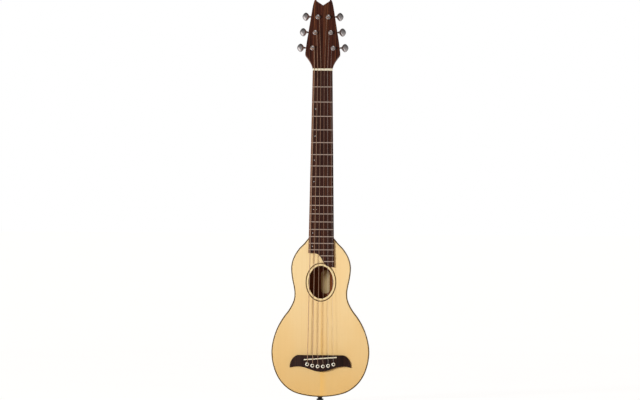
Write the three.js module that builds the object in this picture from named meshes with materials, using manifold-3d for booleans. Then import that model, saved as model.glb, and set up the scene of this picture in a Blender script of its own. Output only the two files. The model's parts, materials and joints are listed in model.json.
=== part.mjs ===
// Travel guitar with six steel strings, in millimetres.
// X runs to the treble side, the soundboard faces -Y and +Z runs up the neck to the headstock.
// The origin is on the centre line, at the nut's fretboard edge, on the fretboard's glue plane.
import * as THREE from 'three';
import { mergeVertices } from 'three/addons/utils/BufferGeometryUtils.js';
import Module from 'manifold-3d';

const wasm = await Module();
wasm.setup();

// Fits shared by every piece
const fitGap = 0.3;
const overrun = 40;
const weldTolerance = 0.0001;

// Scale and strings
const scaleLength = 609.6;
const stringCount = 6;
const woundStrings = 4;
const stringDiameters = [1.35, 1.07, 0.81, 0.61, 0.41, 0.3];
const stringSpacingAtNut = 6.94;
const stringSpacingAtSaddle = 10.94;
const bassCompensation = 5.6;
const trebleCompensation = 1.4;
const firstFretClearance = 0.45;
const stringSides = 5;
const ballRadius = 1.9;
const ballLength = 3;
const ballTaperShare = 0.25;
const windingTurns = [2.25, 2.25, 2.25, 3.25, 3.25, 3.25];
const windingSteps = 12;
const windingGap = 0.55;

// Body
const bodyLength = 338.1;
const tailReach = 85.5;
const bodyDepth = 50;
const shoulderWidth = 55;
const upperBoutWidth = 127.5;
const waistWidth = 112.3;
const lowerBoutWidth = 208.8;
const plateThickness = 2.8;
const sideThickness = 2.2;
const bindingWidth = 2;
const bindingDepth = 6.2;
const liningWidth = 6;
const liningDepth = 14;
const outlineSteps = 60;
// Each row is a share of the body's length and a share of half the width that the table is for
const upperBoutShares = [
  [0.031, 0.562], [0.069, 0.754], [0.107, 0.883], [0.145, 0.966], [0.19, 1], [0.258, 0.962],
];
const waistShares = [[0.314, 1.022], [0.348, 1], [0.391, 1.029]];
const lowerBoutShares = [
  [0.447, 0.638], [0.504, 0.771], [0.561, 0.877], [0.637, 0.964], [0.72, 1],
  [0.807, 0.959], [0.882, 0.858], [0.939, 0.7], [0.977, 0.49],
];

// Sound hole and rosette
const holeBelowFretboard = 32.1;
const holeWidth = 53.2;
const holeHeight = 69.8;
const rosetteWidth = 65.6;
const rosetteHeight = 83.2;
const rosetteBand = 2.5;
const rosetteDepth = 1.2;
const holeSteps = 28;

// Blocks and braces inside the body
const neckBlockWidth = 54;
const neckBlockLength = 42;
const tailBlockWidth = 44;
const tailBlockLength = 18;
const braceWidth = 7;
const braceDepth = 10;
const braceAheadOfBridge = 93.9;
const braceReach = 230;
const braceAngle = THREE.MathUtils.degToRad(33);
const bridgePlateWidth = 100;
const bridgePlateLength = 34;
const bridgePlateThickness = 2.5;
const backBraceShares = [0.4234, 0.7788];

// Neck, heel and tenon
const neckWidthAtNut = 42.4;
const neckWidthAtTwelfth = 52.1;
const neckDepthAtNut = 15;
const neckDepthAtTwelfth = 17.5;
const heelDepth = 46;
const heelCapLength = 16;
const heelCurveLength = 34;
const heelSteps = 6;
const neckStations = 5;
const neckRoundness = 10;
const heelNarrowing = 0.75;
const tenonWidth = 20;
const tenonLength = 25;
const tenonDepth = 40;

// Headstock
const headTilt = THREE.MathUtils.degToRad(14);
const headLength = 153.3;
const headWidth = 74.8;
const headThickness = 13;
const veneerThickness = 1.8;
const voluteLength = 11;
const notchDepth = 13.7;
// Each row is a share of the headstock's length and a share of half its width
const flareShares = [[0.033, 0.594], [0.076, 0.658], [0.119, 0.754], [0.162, 0.874], [0.203, 0.99]];
const edgeShares = [
  [0.218, 1], [0.269, 0.976], [0.376, 0.92], [0.592, 0.783], [0.807, 0.647], [0.893, 0.588],
  [0.935, 0.551], [0.978, 0.495], [1, 0.422], [0.972, 0.37],
];

// Fretboard and frets
const fretboardThickness = 6;
const fretboardRadius = 350;
const fretboardBassOverlap = 31.5;
const fretboardTrebleOverlap = 61.5;
const endCurvePlace = 2.5;
const endCurveSoftness = 4.1;
const endCurveStep = 3;
const crownSteps = 4;
const lastFretMargin = 12;
const fretHeight = 1;
const fretWidth = 2.2;
const fretCrownWidth = 1;
const fretTang = 0.5;
const fretInset = 0.4;
const octave = 12;

// Nut
const nutThickness = 4.6;
const nutHeight = 7.8;

// Truss rod
const trussBarWidth = 5.4;
const trussBarDepth = 9.8;
const trussBarStart = 14;
const trussBarSetback = 9;
const trussRodRadius = 2.5;
const trussRodPlane = 7.5;
const trussRodOverlap = 52;
const trussNutRadius = 3.9;
const trussNutLength = 9;
const trussNutWall = 1.5;
const hexagonSides = 6;

// Bridge, saddle and pins
const bridgeAhead = 3.7;
const bridgeWidth = 130.6;
const bridgeLength = 35.1;
const bridgeThickness = 8.5;
// Each row is a share of half the bridge's width and a share of its length
const bridgeShares = [
  [0.732, 0], [0.842, 0.1], [0.93, 0.277], [0.983, 0.487], [1, 0.745], [0.984, 0.757],
  [0.842, 0.703], [0.69, 0.692], [0.525, 0.743], [0.35, 0.855], [0.187, 0.957], [0, 1],
];
// Each row is a share of half the bridge's width and a share of its thickness left by the wing's scoop
const wingShares = [[0.63, 1.1], [0.65, 0.86], [0.69, 0.66], [0.77, 0.52], [0.9, 0.45], [1.1, 0.42]];
const saddleLength = 70.4;
const saddleThickness = 2.5;
const saddleHeight = 11.5;
const saddleSlotDepth = 5;
const pinSpacing = 11.2;
const pinRowSetback = 20.3;
const pinRowRadius = 87;
const pinHeadRadius = 4;
const pinHeadHeight = 3.2;
const pinRadius = 2.5;
const pinTipRadius = 2.2;
const pinLength = 17.5;
const pinSides = 10;
const roomSides = 6;
const rampReach = 4.4;
const ballReach = 5.4;

// Strap end pin
const endPinRadius = 4.2;
const endPinShank = 18;
const endPinCollarRadius = 5.6;
const endPinCollar = 1.2;
const endPinWaistRadius = 4.4;
const endPinWaist = 2.6;
const endPinFlangeRadius = 7.7;
const endPinFlange = 3;
const endPinDome = 2.4;
const endPinSides = 12;

// Tuning machines
const rowCount = 3;
const firstRow = 44.1;
const rowPitch = 34.5;
const firstRowHalfSpacing = 22.05;
const rowNarrowing = 5.475;
const gearTeeth = 14;
const axialPitch = 1.9;
const gearThickness = 3;
const wormPitchRadius = 2.2;
const wormTurns = 2.5;
const wormSteps = 8;
const crestShare = 0.263;
const rootShare = 0.368;
const toothRootShare = 0.526;
const toothCrestShare = 0.237;
const threadRootShare = 0.547;
const threadCrestShare = 0.179;
const threadCrestHeightShare = 0.29;
const wormCoreShare = 0.342;
const shaftRadius = 1.5;
const buttonReach = 25.4;
const buttonWidth = 14.2;
const buttonHeight = 17.8;
const buttonThickness = 8.4;
const buttonSoftness = 1.2;
const buttonSegments = 10;
const buttonRings = 6;
const postRadius = 3;
const postHeight = 11;
const postHoleRadius = 0.9;
const postHoleHeight = 8.5;
const postSides = 10;
const housingWidth = 14;
const housingDepth = 11;
const housingBelowPost = 6.5;
const housingAboveShaft = 4.5;
const housingCorner = 3;
const cornerSteps = 2;
const sleeveRadius = 4;
const sleeveLength = 7.3;
const bossRadius = 3.2;
const bossLength = 2.2;
const bushingFlangeRadius = 5;
const bushingFlange = 1.6;
const bushingLength = 7.5;

// Places worked out from the sizes above, along the neck from the nut
const bridgeTop = scaleLength - bridgeAhead;
const bodyEnd = scaleLength + tailReach;
const bodyStart = bodyEnd - bodyLength;
const fretboardBassEnd = bodyStart + fretboardBassOverlap;
const fretboardTrebleEnd = bodyStart + fretboardTrebleOverlap;
const holeCentre = fretboardTrebleEnd + holeBelowFretboard;
const braceCrossing = bridgeTop - braceAheadOfBridge;
const backBracePlaces = backBraceShares.map((share) => bodyStart + share * bodyLength);
const trussBarEnd = bodyStart - trussBarSetback;
const trussRodEnd = bodyStart + trussRodOverlap;

// As many frets as the fretboard's treble edge can carry
const fretRoom = fretboardTrebleEnd - lastFretMargin;
const fretCount = Math.floor(octave * Math.log2(scaleLength / (scaleLength - fretRoom)));

// Levels worked out from the sizes above
const fretboardFront = fitGap + fretboardThickness;
const saddleZ = (x) => {
  const halfSpread = stringSpacingAtSaddle * (stringCount - 1) / 2;
  const middle = (bassCompensation + trebleCompensation) / 2;
  return -(scaleLength + middle) + x / halfSpread * (bassCompensation - trebleCompensation) / 2;
};
const bridgeFront = fitGap + bridgeThickness;
const lowerPlate = plateThickness + fitGap;
const veneerFront = fitGap + veneerThickness;
const holeRadius = sleeveRadius + fitGap;
const postBore = postRadius + fitGap;
const gearPitchRadius = gearTeeth * axialPitch / (2 * Math.PI);
const shaftDistance = gearPitchRadius + wormPitchRadius;
const housingFront = headThickness + fitGap;
const gearPlane = housingFront + housingDepth / 2;

// The headstock's own frame: its front face of bare wood is y = 0 and z runs up it from the nut
const headFrame = new THREE.Matrix4()
  .makeTranslation(0, 0, fitGap + nutThickness)
  .multiply(new THREE.Matrix4().makeRotationX(-headTilt));

// Solids from three.js geometry, and back again

function skinned(positions, triangles) {
  return new wasm.Manifold(new wasm.Mesh({
    numProp: 3,
    vertProperties: new Float32Array(positions),
    triVerts: new Uint32Array(triangles),
  }));
}

function solidOf(geometry) {
  const bare = new THREE.BufferGeometry();
  bare.setAttribute('position', geometry.attributes.position.clone());
  if (geometry.index) bare.setIndex(geometry.index.clone());
  const merged = mergeVertices(bare, weldTolerance);
  return skinned(merged.attributes.position.array, merged.index.array);
}

function geometryOf(solid) {
  const mesh = solid.getMesh();
  const geometry = new THREE.BufferGeometry();
  geometry.setAttribute('position', new THREE.BufferAttribute(new Float32Array(mesh.vertProperties), 3));
  geometry.setIndex(new THREE.BufferAttribute(new Uint32Array(mesh.triVerts), 1));
  geometry.computeVertexNormals();
  return geometry;
}

const moved = (solid, x, y, z) => solid.translate([x, y, z]);
const inFrame = (solid, matrix) => solid.transform(matrix.elements);

// A plate whose outline lies in the XZ plane, between two depths behind the glue plane
function slab(outline, front, back, holes = []) {
  const settings = { depth: back - front, bevelEnabled: false };
  const geometry = new THREE.ExtrudeGeometry(new THREE.Shape(outline), settings);
  geometry.rotateX(Math.PI / 2);
  geometry.translate(0, back, 0);
  return holes.reduce(
    (plate, hole) => plate.subtract(slab(hole, front - overrun, back + overrun)),
    solidOf(geometry),
  );
}

// A box between two corners
function block(low, high) {
  const size = high.map((value, axis) => value - low[axis]);
  const geometry = new THREE.BoxGeometry(...size);
  geometry.translate(...low.map((value, axis) => value + size[axis] / 2));
  return solidOf(geometry);
}

// A body turned about the Y axis, from pairs of radius and y, closed on the axis
function turned(profile, sides) {
  const points = profile.map(([radius, y]) => new THREE.Vector2(radius, y));
  return solidOf(new THREE.LatheGeometry(points, sides));
}

// A round bar about the Y axis between two values of y
function barAlongY(radius, from, to, sides) {
  return turned([[0, from], [radius, from], [radius, to], [0, to]], sides);
}

const barAlongX = (radius, from, to, sides) => barAlongY(radius, -to, -from, sides).rotate([0, 0, 90]);
const barAlongZ = (radius, from, to, sides) => barAlongY(radius, from, to, sides).rotate([90, 0, 0]);

// A closed skin over rings of equally many points
function loft(rings) {
  const size = rings[0].length;
  const positions = rings.flat().flatMap((point) => point.toArray());
  const triangles = [];
  for (let ring = 0; ring + 1 < rings.length; ring += 1) {
    for (let place = 0; place < size; place += 1) {
      const here = ring * size + place;
      const beside = ring * size + (place + 1) % size;
      triangles.push(here, beside, here + size, beside, beside + size, here + size);
    }
  }
  const last = (rings.length - 1) * size;
  for (let place = 1; place + 1 < size; place += 1) {
    triangles.push(0, place + 1, place);
    triangles.push(last, last + place, last + place + 1);
  }
  const skin = skinned(positions, triangles);
  if (skin.volume() > 0) return skin;
  return loft(rings.map((ring) => [...ring].reverse()));
}

// A tube along straight runs between points, with a radius at each point
function tube(points, radii, sides) {
  const rings = [];
  let side = new THREE.Vector3(1, 0, 0);
  points.forEach((point, place) => {
    const before = points[Math.max(place - 1, 0)];
    const after = points[Math.min(place + 1, points.length - 1)];
    const inward = point.clone().sub(before).normalize();
    const outward = after.clone().sub(point).normalize();
    const along = inward.add(outward).normalize();
    side = side.clone().addScaledVector(along, -side.dot(along)).normalize();
    const up = new THREE.Vector3().crossVectors(along, side);
    const ring = [];
    for (let corner = 0; corner < sides; corner += 1) {
      const angle = 2 * Math.PI * corner / sides;
      ring.push(point.clone()
        .addScaledVector(side, radii[place] * Math.cos(angle))
        .addScaledVector(up, radii[place] * Math.sin(angle)));
    }
    rings.push(ring);
  });
  return loft(rings);
}

// How far a crowned surface has dropped at a distance from the centre line
const crownDrop = (x) => fretboardRadius - Math.sqrt(fretboardRadius ** 2 - x ** 2);

// A bar along Z whose front is crowned like the fretboard
function crownedBar(halfWidth, frontHeight, backHeight, low, high) {
  const section = [];
  for (let step = 0; step <= crownSteps; step += 1) {
    const x = halfWidth * (2 * step / crownSteps - 1);
    section.push([x, crownDrop(x) - frontHeight]);
  }
  section.push([halfWidth, -backHeight], [-halfWidth, -backHeight]);
  return loft([low, high].map((z) => section.map(([x, y]) => new THREE.Vector3(x, y, z))));
}

// Outline of the body

function bodyOutline() {
  const tables = [
    [upperBoutShares, upperBoutWidth],
    [waistShares, waistWidth],
    [lowerBoutShares, lowerBoutWidth],
  ];
  const treble = [new THREE.Vector3(shoulderWidth / 2, -bodyStart, 0)];
  for (const [shares, width] of tables) {
    for (const [alongShare, halfShare] of shares) {
      treble.push(new THREE.Vector3(halfShare * width / 2, -bodyStart - alongShare * bodyLength, 0));
    }
  }
  const tail = new THREE.Vector3(0, -bodyEnd, 0);
  const bass = treble.map((point) => new THREE.Vector3(-point.x, point.y, 0)).reverse();
  const curve = new THREE.CatmullRomCurve3([...treble, tail, ...bass], false, 'centripetal');
  return curve.getSpacedPoints(outlineSteps).map((point) => new THREE.Vector2(point.x, point.y));
}

// The same outline a distance further in, with each edge moved square to itself
function inset(outline, distance) {
  const clockwise = THREE.ShapeUtils.isClockWise(outline) ? 1 : -1;
  return outline.map((point, place) => {
    const before = outline[(place + outline.length - 1) % outline.length];
    const after = outline[(place + 1) % outline.length];
    const first = point.clone().sub(before).normalize();
    const second = after.clone().sub(point).normalize();
    const firstNormal = new THREE.Vector2(first.y, -first.x).multiplyScalar(clockwise);
    const secondNormal = new THREE.Vector2(second.y, -second.x).multiplyScalar(clockwise);
    const middle = firstNormal.clone().add(secondNormal).normalize();
    return point.clone().addScaledVector(middle, distance / middle.dot(firstNormal));
  });
}

function ellipse(width, height) {
  const points = [];
  for (let step = 0; step < holeSteps; step += 1) {
    const angle = 2 * Math.PI * step / holeSteps;
    points.push(new THREE.Vector2(width / 2 * Math.cos(angle), height / 2 * Math.sin(angle) - holeCentre));
  }
  return points;
}

const outline = bodyOutline();
const insidePlates = inset(outline, bindingWidth + fitGap);
const insideSides = inset(outline, sideThickness + fitGap);
const insideLinings = inset(outline, sideThickness + fitGap + liningWidth);
const braceEnds = inset(outline, sideThickness + liningWidth + 2 * fitGap);

// Strings

// Strings and posts are counted from the bass side
const fromCentre = (index) => index - (stringCount - 1) / 2;
const sideOf = (index) => Math.sign(fromCentre(index));
const rowOf = (index) => (index < rowCount ? index : stringCount - 1 - index);

const postX = (index) => sideOf(index) * (firstRowHalfSpacing - rowNarrowing * rowOf(index));
const postZ = (index) => firstRow + rowPitch * rowOf(index);
const pinX = (index) => fromCentre(index) * pinSpacing;
const pinZ = (index) => -(scaleLength + pinRowSetback) + pinX(index) ** 2 / (2 * pinRowRadius);

// The turns round a post, in the headstock's frame, climbing away from its face to the post's hole
function windingPoints(index, comingFrom) {
  const radius = postRadius + fitGap + stringDiameters[index] / 2;
  const pitch = stringDiameters[index] + windingGap;
  const turns = windingTurns[index];
  const turnDirection = -sideOf(index);
  const start = comingFrom.clone().applyMatrix4(headFrame.clone().invert());
  const acrossX = start.x - postX(index);
  const acrossZ = start.z - postZ(index);
  const meeting = Math.acos(radius / Math.hypot(acrossX, acrossZ));
  const firstAngle = Math.atan2(acrossZ, acrossX) + turnDirection * meeting;
  const holeLevel = veneerFront + postHoleHeight;
  const points = [];
  for (let step = 0; step <= turns * windingSteps; step += 1) {
    const turn = step / windingSteps;
    const angle = firstAngle + turnDirection * 2 * Math.PI * turn;
    points.push(new THREE.Vector3(
      postX(index) + radius * Math.cos(angle),
      -holeLevel + (turns - turn) * pitch,
      postZ(index) + radius * Math.sin(angle),
    ).applyMatrix4(headFrame));
  }
  return points;
}

// From the ball end under the bridge plate, up the pin's groove, over saddle and nut, and round the post
function stringRoute(index) {
  const radius = stringDiameters[index] / 2;
  const saddleX = fromCentre(index) * stringSpacingAtSaddle;
  const nutX = fromCentre(index) * stringSpacingAtNut;
  const plateBack = lowerPlate + bridgePlateThickness;
  const grooveZ = pinZ(index) + pinRadius - radius;
  const ballLevel = plateBack + fitGap + ballRadius + fitGap;
  const beside = (y, reach) => new THREE.Vector3(pinX(index), y, pinZ(index) + reach);
  const underHead = -bridgeFront + radius + fitGap;
  const saddle = new THREE.Vector3(
    saddleX,
    crownDrop(saddleX) - saddleHeight - fitGap - radius,
    saddleZ(saddleX) - saddleThickness / 2,
  );
  const nut = new THREE.Vector3(
    nutX,
    crownDrop(nutX) - fretboardFront - fretHeight - firstFretClearance - radius,
    fitGap,
  );
  const winding = windingPoints(index, nut);
  return {
    ball: [beside(ballLevel, ballReach + ballLength / 2), beside(ballLevel, ballReach - ballLength / 2)],
    span: [
      new THREE.Vector3(pinX(index), plateBack + fitGap, grooveZ),
      new THREE.Vector3(pinX(index), underHead + radius + fitGap, grooveZ),
      beside(underHead, rampReach),
      saddle,
      nut,
    ],
    winding,
  };
}

const stringRoutes = stringDiameters.map((diameter, index) => stringRoute(index));

function stringSolid(index) {
  const { ball, span, winding } = stringRoutes[index];
  const neckOfBall = ball[1].clone().lerp(span[0], ballTaperShare);
  const wire = [neckOfBall, ...span, ...winding];
  const radii = [...ball.map(() => ballRadius), ...wire.map(() => stringDiameters[index] / 2)];
  return tube([...ball, ...wire], radii, stringSides);
}

// The room that a string needs in what it passes through
function stringRoom(index) {
  const { span, winding } = stringRoutes[index];
  const radius = stringDiameters[index] / 2 + fitGap;
  const into = span[0].clone();
  into.y += overrun;
  const route = [into, ...span, winding[0]];
  return tube(route, route.map(() => radius), roomSides);
}

const stringRooms = stringRoutes.map((route, index) => stringRoom(index));

// The least distance between the surfaces of turns that lie at least half a turn apart
function leastGap(index) {
  const { span, winding } = stringRoutes[index];
  const approach = [];
  for (let step = windingSteps - 1; step > 0; step -= 1) {
    approach.push(span.at(-1).clone().lerp(winding[0], 1 - step / windingSteps / windingSteps));
  }
  const points = [...approach, ...winding];
  let least = Infinity;
  for (let first = 0; first < points.length; first += 1) {
    for (let second = first + windingSteps / 2; second < points.length; second += 1) {
      least = Math.min(least, points[first].distanceTo(points[second]));
    }
  }
  return least - stringDiameters[index];
}

// Body pieces

function soundboard() {
  const plate = slab(insidePlates, 0, plateThickness, [ellipse(holeWidth, holeHeight)]);
  const outer = ellipse(rosetteWidth + 2 * fitGap, rosetteHeight + 2 * fitGap);
  const innerWidth = rosetteWidth - 2 * (rosetteBand + fitGap);
  const innerHeight = rosetteHeight - 2 * (rosetteBand + fitGap);
  const channel = slab(outer, -overrun, rosetteDepth + fitGap, [ellipse(innerWidth, innerHeight)]);
  return pinHoles(plate.subtract(channel));
}

function rosette() {
  const inner = ellipse(rosetteWidth - 2 * rosetteBand, rosetteHeight - 2 * rosetteBand);
  return slab(ellipse(rosetteWidth, rosetteHeight), 0, rosetteDepth, [inner]);
}

// The holes that the bridge pins pass through
function pinHoles(solid) {
  let drilled = solid;
  for (let index = 0; index < stringCount; index += 1) {
    const hole = barAlongY(pinRadius + fitGap, -overrun, overrun, pinSides);
    drilled = drilled.subtract(moved(hole, pinX(index), 0, pinZ(index)));
  }
  return drilled;
}

const backPlate = () => slab(insidePlates, bodyDepth - plateThickness, bodyDepth);

// The room for the tenon, from inside the fretboard's plane to its foot
function tenonRoom() {
  const half = tenonWidth / 2 + fitGap;
  const low = [-half, -overrun, -bodyStart - tenonLength - fitGap];
  return block(low, [half, tenonDepth + fitGap, -bodyStart + overrun]);
}

const endPinHole = () => moved(
  barAlongZ(endPinRadius + fitGap, -overrun, overrun, endPinSides), 0, bodyDepth / 2, -bodyEnd,
);

function bodySide(side) {
  const front = bindingDepth + fitGap;
  const ribbon = slab(outline, front, bodyDepth - front, [inset(outline, sideThickness)]);
  const inner = side * fitGap / 2;
  const outer = side * lowerBoutWidth;
  const half = block(
    [Math.min(inner, outer), -overrun, -bodyEnd - overrun],
    [Math.max(inner, outer), bodyDepth + overrun, 0],
  );
  return ribbon.intersect(half).subtract(tenonRoom()).subtract(endPinHole());
}

function binding(front) {
  return slab(outline, front, front + bindingDepth, [inset(outline, bindingWidth)]);
}

const topBinding = () => binding(0).subtract(tenonRoom());
const backBinding = () => binding(bodyDepth - bindingDepth);

// The linings stop at the neck block
function lining(front) {
  const half = neckBlockWidth / 2 + fitGap;
  const room = block(
    [-half, -overrun, -bodyStart - neckBlockLength - 2 * fitGap - sideThickness],
    [half, bodyDepth + overrun, 0],
  );
  return slab(insideSides, front, front + liningDepth, [insideLinings]).subtract(room);
}

const topLining = () => lining(lowerPlate);
const backLining = () => lining(bodyDepth - lowerPlate - liningDepth);

function neckBlock() {
  const top = -bodyStart - sideThickness - fitGap;
  const raw = block(
    [-neckBlockWidth / 2, lowerPlate, top - neckBlockLength],
    [neckBlockWidth / 2, bodyDepth - lowerPlate, top],
  );
  const rodHole = barAlongZ(trussRodRadius + fitGap, -overrun, overrun, pinSides);
  return raw
    .intersect(slab(insideSides, 0, bodyDepth))
    .subtract(tenonRoom())
    .subtract(moved(rodHole, 0, trussRodPlane, top - neckBlockLength));
}

function tailBlock() {
  const low = -bodyEnd + sideThickness + fitGap;
  const raw = block(
    [-tailBlockWidth / 2, lowerPlate, low - overrun],
    [tailBlockWidth / 2, bodyDepth - lowerPlate, low + tailBlockLength],
  );
  const notchDepth = lowerPlate + liningDepth + fitGap;
  const middle = slab(braceEnds, -overrun, bodyDepth + overrun);
  const notches = slab(outline, -overrun, notchDepth)
    .add(slab(outline, bodyDepth - notchDepth, bodyDepth + overrun))
    .subtract(middle);
  return raw.intersect(slab(insideSides, 0, bodyDepth)).subtract(notches).subtract(endPinHole());
}

function xBrace() {
  const half = [braceWidth / 2, braceDepth / 2, braceReach / 2];
  const bar = block(half.map((value) => -value), half);
  const turn = THREE.MathUtils.radToDeg(braceAngle);
  const crossed = bar.rotate([0, turn, 0]).add(bar.rotate([0, -turn, 0]));
  const placed = moved(crossed, 0, lowerPlate + braceDepth / 2, -braceCrossing);
  return placed.intersect(slab(braceEnds, 0, bodyDepth));
}

function backBrace(place) {
  const raw = block(
    [-lowerBoutWidth, bodyDepth - lowerPlate - braceDepth, -place - braceWidth / 2],
    [lowerBoutWidth, bodyDepth - lowerPlate, -place + braceWidth / 2],
  );
  return raw.intersect(slab(braceEnds, 0, bodyDepth));
}

function bridgePlate() {
  const top = -bridgeTop;
  const plate = block(
    [-bridgePlateWidth / 2, lowerPlate, top - bridgePlateLength],
    [bridgePlateWidth / 2, lowerPlate + bridgePlateThickness, top],
  );
  return pinHoles(plate);
}

// Neck pieces

const neckHalfWidth = (distance) => {
  const twelfth = scaleLength / 2;
  return (neckWidthAtNut + (neckWidthAtTwelfth - neckWidthAtNut) * distance / twelfth) / 2;
};

const neckDepth = (distance) => {
  const plain = neckDepthAtNut + (neckDepthAtTwelfth - neckDepthAtNut) * distance / (scaleLength / 2);
  const fromBody = bodyStart - distance;
  const intoCurve = heelCapLength + heelCurveLength - fromBody;
  const curveShare = THREE.MathUtils.clamp(intoCurve / heelCurveLength, 0, 1);
  return plain + (heelDepth - plain) * (1 - Math.sqrt(1 - curveShare ** 2));
};

// A D-shaped ring across the neck; deep rings narrow towards the heel's cap
function neckRing(halfWidth, front, back, z) {
  const extraDepth = back - front - neckDepthAtTwelfth;
  const deepShare = THREE.MathUtils.clamp(extraDepth / (heelDepth - neckDepthAtTwelfth), 0, 1);
  const power = 1 + heelNarrowing * deepShare;
  const ring = [];
  for (let step = 0; step <= neckRoundness; step += 1) {
    const angle = Math.PI * step / neckRoundness;
    const across = Math.cos(angle);
    const x = halfWidth * Math.sign(across) * Math.abs(across) ** power;
    ring.push(new THREE.Vector3(x, front + (back - front) * Math.sin(angle) ** (1 / power), z));
  }
  return ring;
}

// Half of the headstock's outline, from the nut up to its tip, mirrored to close it
function headOutline() {
  const point = ([alongShare, halfShare]) => (
    new THREE.Vector3(halfShare * headWidth / 2, alongShare * headLength, 0)
  );
  const flare = [new THREE.Vector3(neckWidthAtNut / 2, 0, 0), ...flareShares.map(point)];
  const edge = edgeShares.map(point);
  const flareCurve = new THREE.CatmullRomCurve3(flare, false, 'centripetal');
  const edgeCurve = new THREE.CatmullRomCurve3(edge, false, 'centripetal');
  const treble = [...flareCurve.getPoints(flare.length), ...edgeCurve.getPoints(edge.length + flare.length)];
  const bass = treble.map(({ x, y }) => new THREE.Vector2(-x, y)).reverse();
  const notch = new THREE.Vector2(0, headLength - notchDepth);
  return [...treble.map(({ x, y }) => new THREE.Vector2(x, y)), notch, ...bass];
}

function postHoles(solid) {
  let drilled = solid;
  for (let index = 0; index < stringCount; index += 1) {
    const hole = barAlongY(holeRadius, -overrun, overrun, postSides);
    drilled = drilled.subtract(moved(hole, postX(index), 0, postZ(index)));
  }
  return drilled;
}

function neck() {
  const slope = Math.tan(headTilt);
  const nutBack = fitGap + nutThickness;
  const headBack = headThickness / Math.cos(headTilt) + voluteLength * slope;
  const rings = [neckRing(neckHalfWidth(0), voluteLength * slope + fitGap, headBack, nutBack + voluteLength)];
  rings.push(neckRing(neckHalfWidth(0), 0, neckDepthAtNut, nutBack));
  const heelStart = bodyStart - heelCapLength - heelCurveLength;
  for (let station = 0; station < neckStations; station += 1) {
    const distance = heelStart * station / neckStations;
    rings.push(neckRing(neckHalfWidth(distance), 0, neckDepth(distance), -distance));
  }
  for (let step = 0; step <= heelSteps; step += 1) {
    const distance = heelStart + heelCurveLength * Math.sin(Math.PI / 2 * step / heelSteps);
    rings.push(neckRing(neckHalfWidth(distance), 0, neckDepth(distance), -distance));
  }
  const end = bodyStart - fitGap;
  rings.push(neckRing(neckHalfWidth(end), 0, heelDepth, -end));
  const tenonEnd = -bodyStart - tenonLength;
  const tenon = block([-tenonWidth / 2, lowerPlate, tenonEnd], [tenonWidth / 2, tenonDepth, -end + fitGap]);
  const head = inFrame(postHoles(slab(headOutline(), 0, headThickness)), headFrame);
  const channelHalf = trussBarWidth / 2 + fitGap;
  const channel = block(
    [-channelHalf, -overrun, -trussBarEnd - fitGap],
    [channelHalf, fitGap + trussBarDepth + fitGap, -trussBarStart + fitGap],
  );
  const rodHole = barAlongZ(trussRodRadius + fitGap, tenonEnd - overrun, -trussBarEnd, pinSides);
  return loft(rings)
    .add(tenon)
    .add(head)
    .subtract(channel)
    .subtract(moved(rodHole, 0, trussRodPlane, 0));
}

const headstockVeneer = () => {
  const trim = block([-headWidth, -headThickness, -headLength], [headWidth, headThickness, fitGap]);
  return postHoles(slab(headOutline(), -veneerFront, -fitGap)).subtract(trim);
};

// The fretboard's end sweeps from its short bass edge to its long treble edge
const fretboardEnd = (x) => {
  const sweepShare = 1 / (1 + Math.exp(-(x - endCurvePlace) / endCurveSoftness));
  return fretboardBassEnd + (fretboardTrebleEnd - fretboardBassEnd) * sweepShare;
};

// The part of a fret's width that the fretboard still carries
function fretStart(distance) {
  const half = neckHalfWidth(distance) - fretInset;
  let start = -half;
  while (fretboardEnd(start) < distance + fretWidth && start < half) start += fretInset;
  return start;
}

function fret(number) {
  const distance = scaleLength * (1 - 2 ** (-number / octave));
  const from = fretStart(distance);
  const to = neckHalfWidth(distance) - fretInset;
  const rings = [];
  for (let step = 0; step <= crownSteps; step += 1) {
    const x = from + (to - from) * step / crownSteps;
    const seat = crownDrop(x) - fretboardFront;
    rings.push([
      new THREE.Vector3(x, seat + fretTang, -distance - fretWidth / 2),
      new THREE.Vector3(x, seat - fretHeight, -distance - fretCrownWidth / 2),
      new THREE.Vector3(x, seat - fretHeight, -distance + fretCrownWidth / 2),
      new THREE.Vector3(x, seat + fretTang, -distance + fretWidth / 2),
    ]);
  }
  return loft(rings);
}

function fretboard() {
  const edge = [
    new THREE.Vector2(-neckHalfWidth(0), 0),
    new THREE.Vector2(-neckHalfWidth(fretboardBassEnd), -fretboardBassEnd),
  ];
  const last = neckHalfWidth(fretboardTrebleEnd);
  for (let x = -last + 2 * endCurveStep; x < last - endCurveStep; x += endCurveStep) {
    edge.push(new THREE.Vector2(x, -fretboardEnd(x)));
  }
  edge.push(new THREE.Vector2(last, -fretboardTrebleEnd), new THREE.Vector2(neckHalfWidth(0), 0));
  const crowned = crownedBar(last + fitGap, fretboardFront, fitGap, -fretboardTrebleEnd - overrun, overrun);
  let board = slab(edge, -fretboardFront - overrun, -fitGap).intersect(crowned);
  for (let number = 1; number <= fretCount; number += 1) board = board.add(fret(number));
  return board;
}

function nut() {
  const top = fitGap + nutThickness;
  let bone = crownedBar(neckWidthAtNut / 2, fitGap + nutHeight, fitGap, fitGap, top);
  for (const room of stringRooms) bone = bone.subtract(room);
  return bone;
}

function trussRod() {
  const half = trussBarWidth / 2;
  const bar = block([-half, fitGap, -trussBarEnd], [half, fitGap + trussBarDepth, -trussBarStart]);
  const rod = barAlongZ(trussRodRadius, -trussRodEnd, -trussBarEnd + half, pinSides);
  return bar.add(moved(rod, 0, trussRodPlane, 0));
}

// A hexagon that hides the end of the rod in a blind bore
function trussRodNut() {
  const back = trussRodEnd + fitGap + trussNutWall;
  const body = barAlongZ(trussNutRadius, -back, -back + trussNutLength, hexagonSides);
  const bore = barAlongZ(trussRodRadius + fitGap, -trussRodEnd - fitGap, 0, pinSides);
  return moved(body.subtract(bore), 0, trussRodPlane, 0);
}

// Bridge pieces

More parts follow.
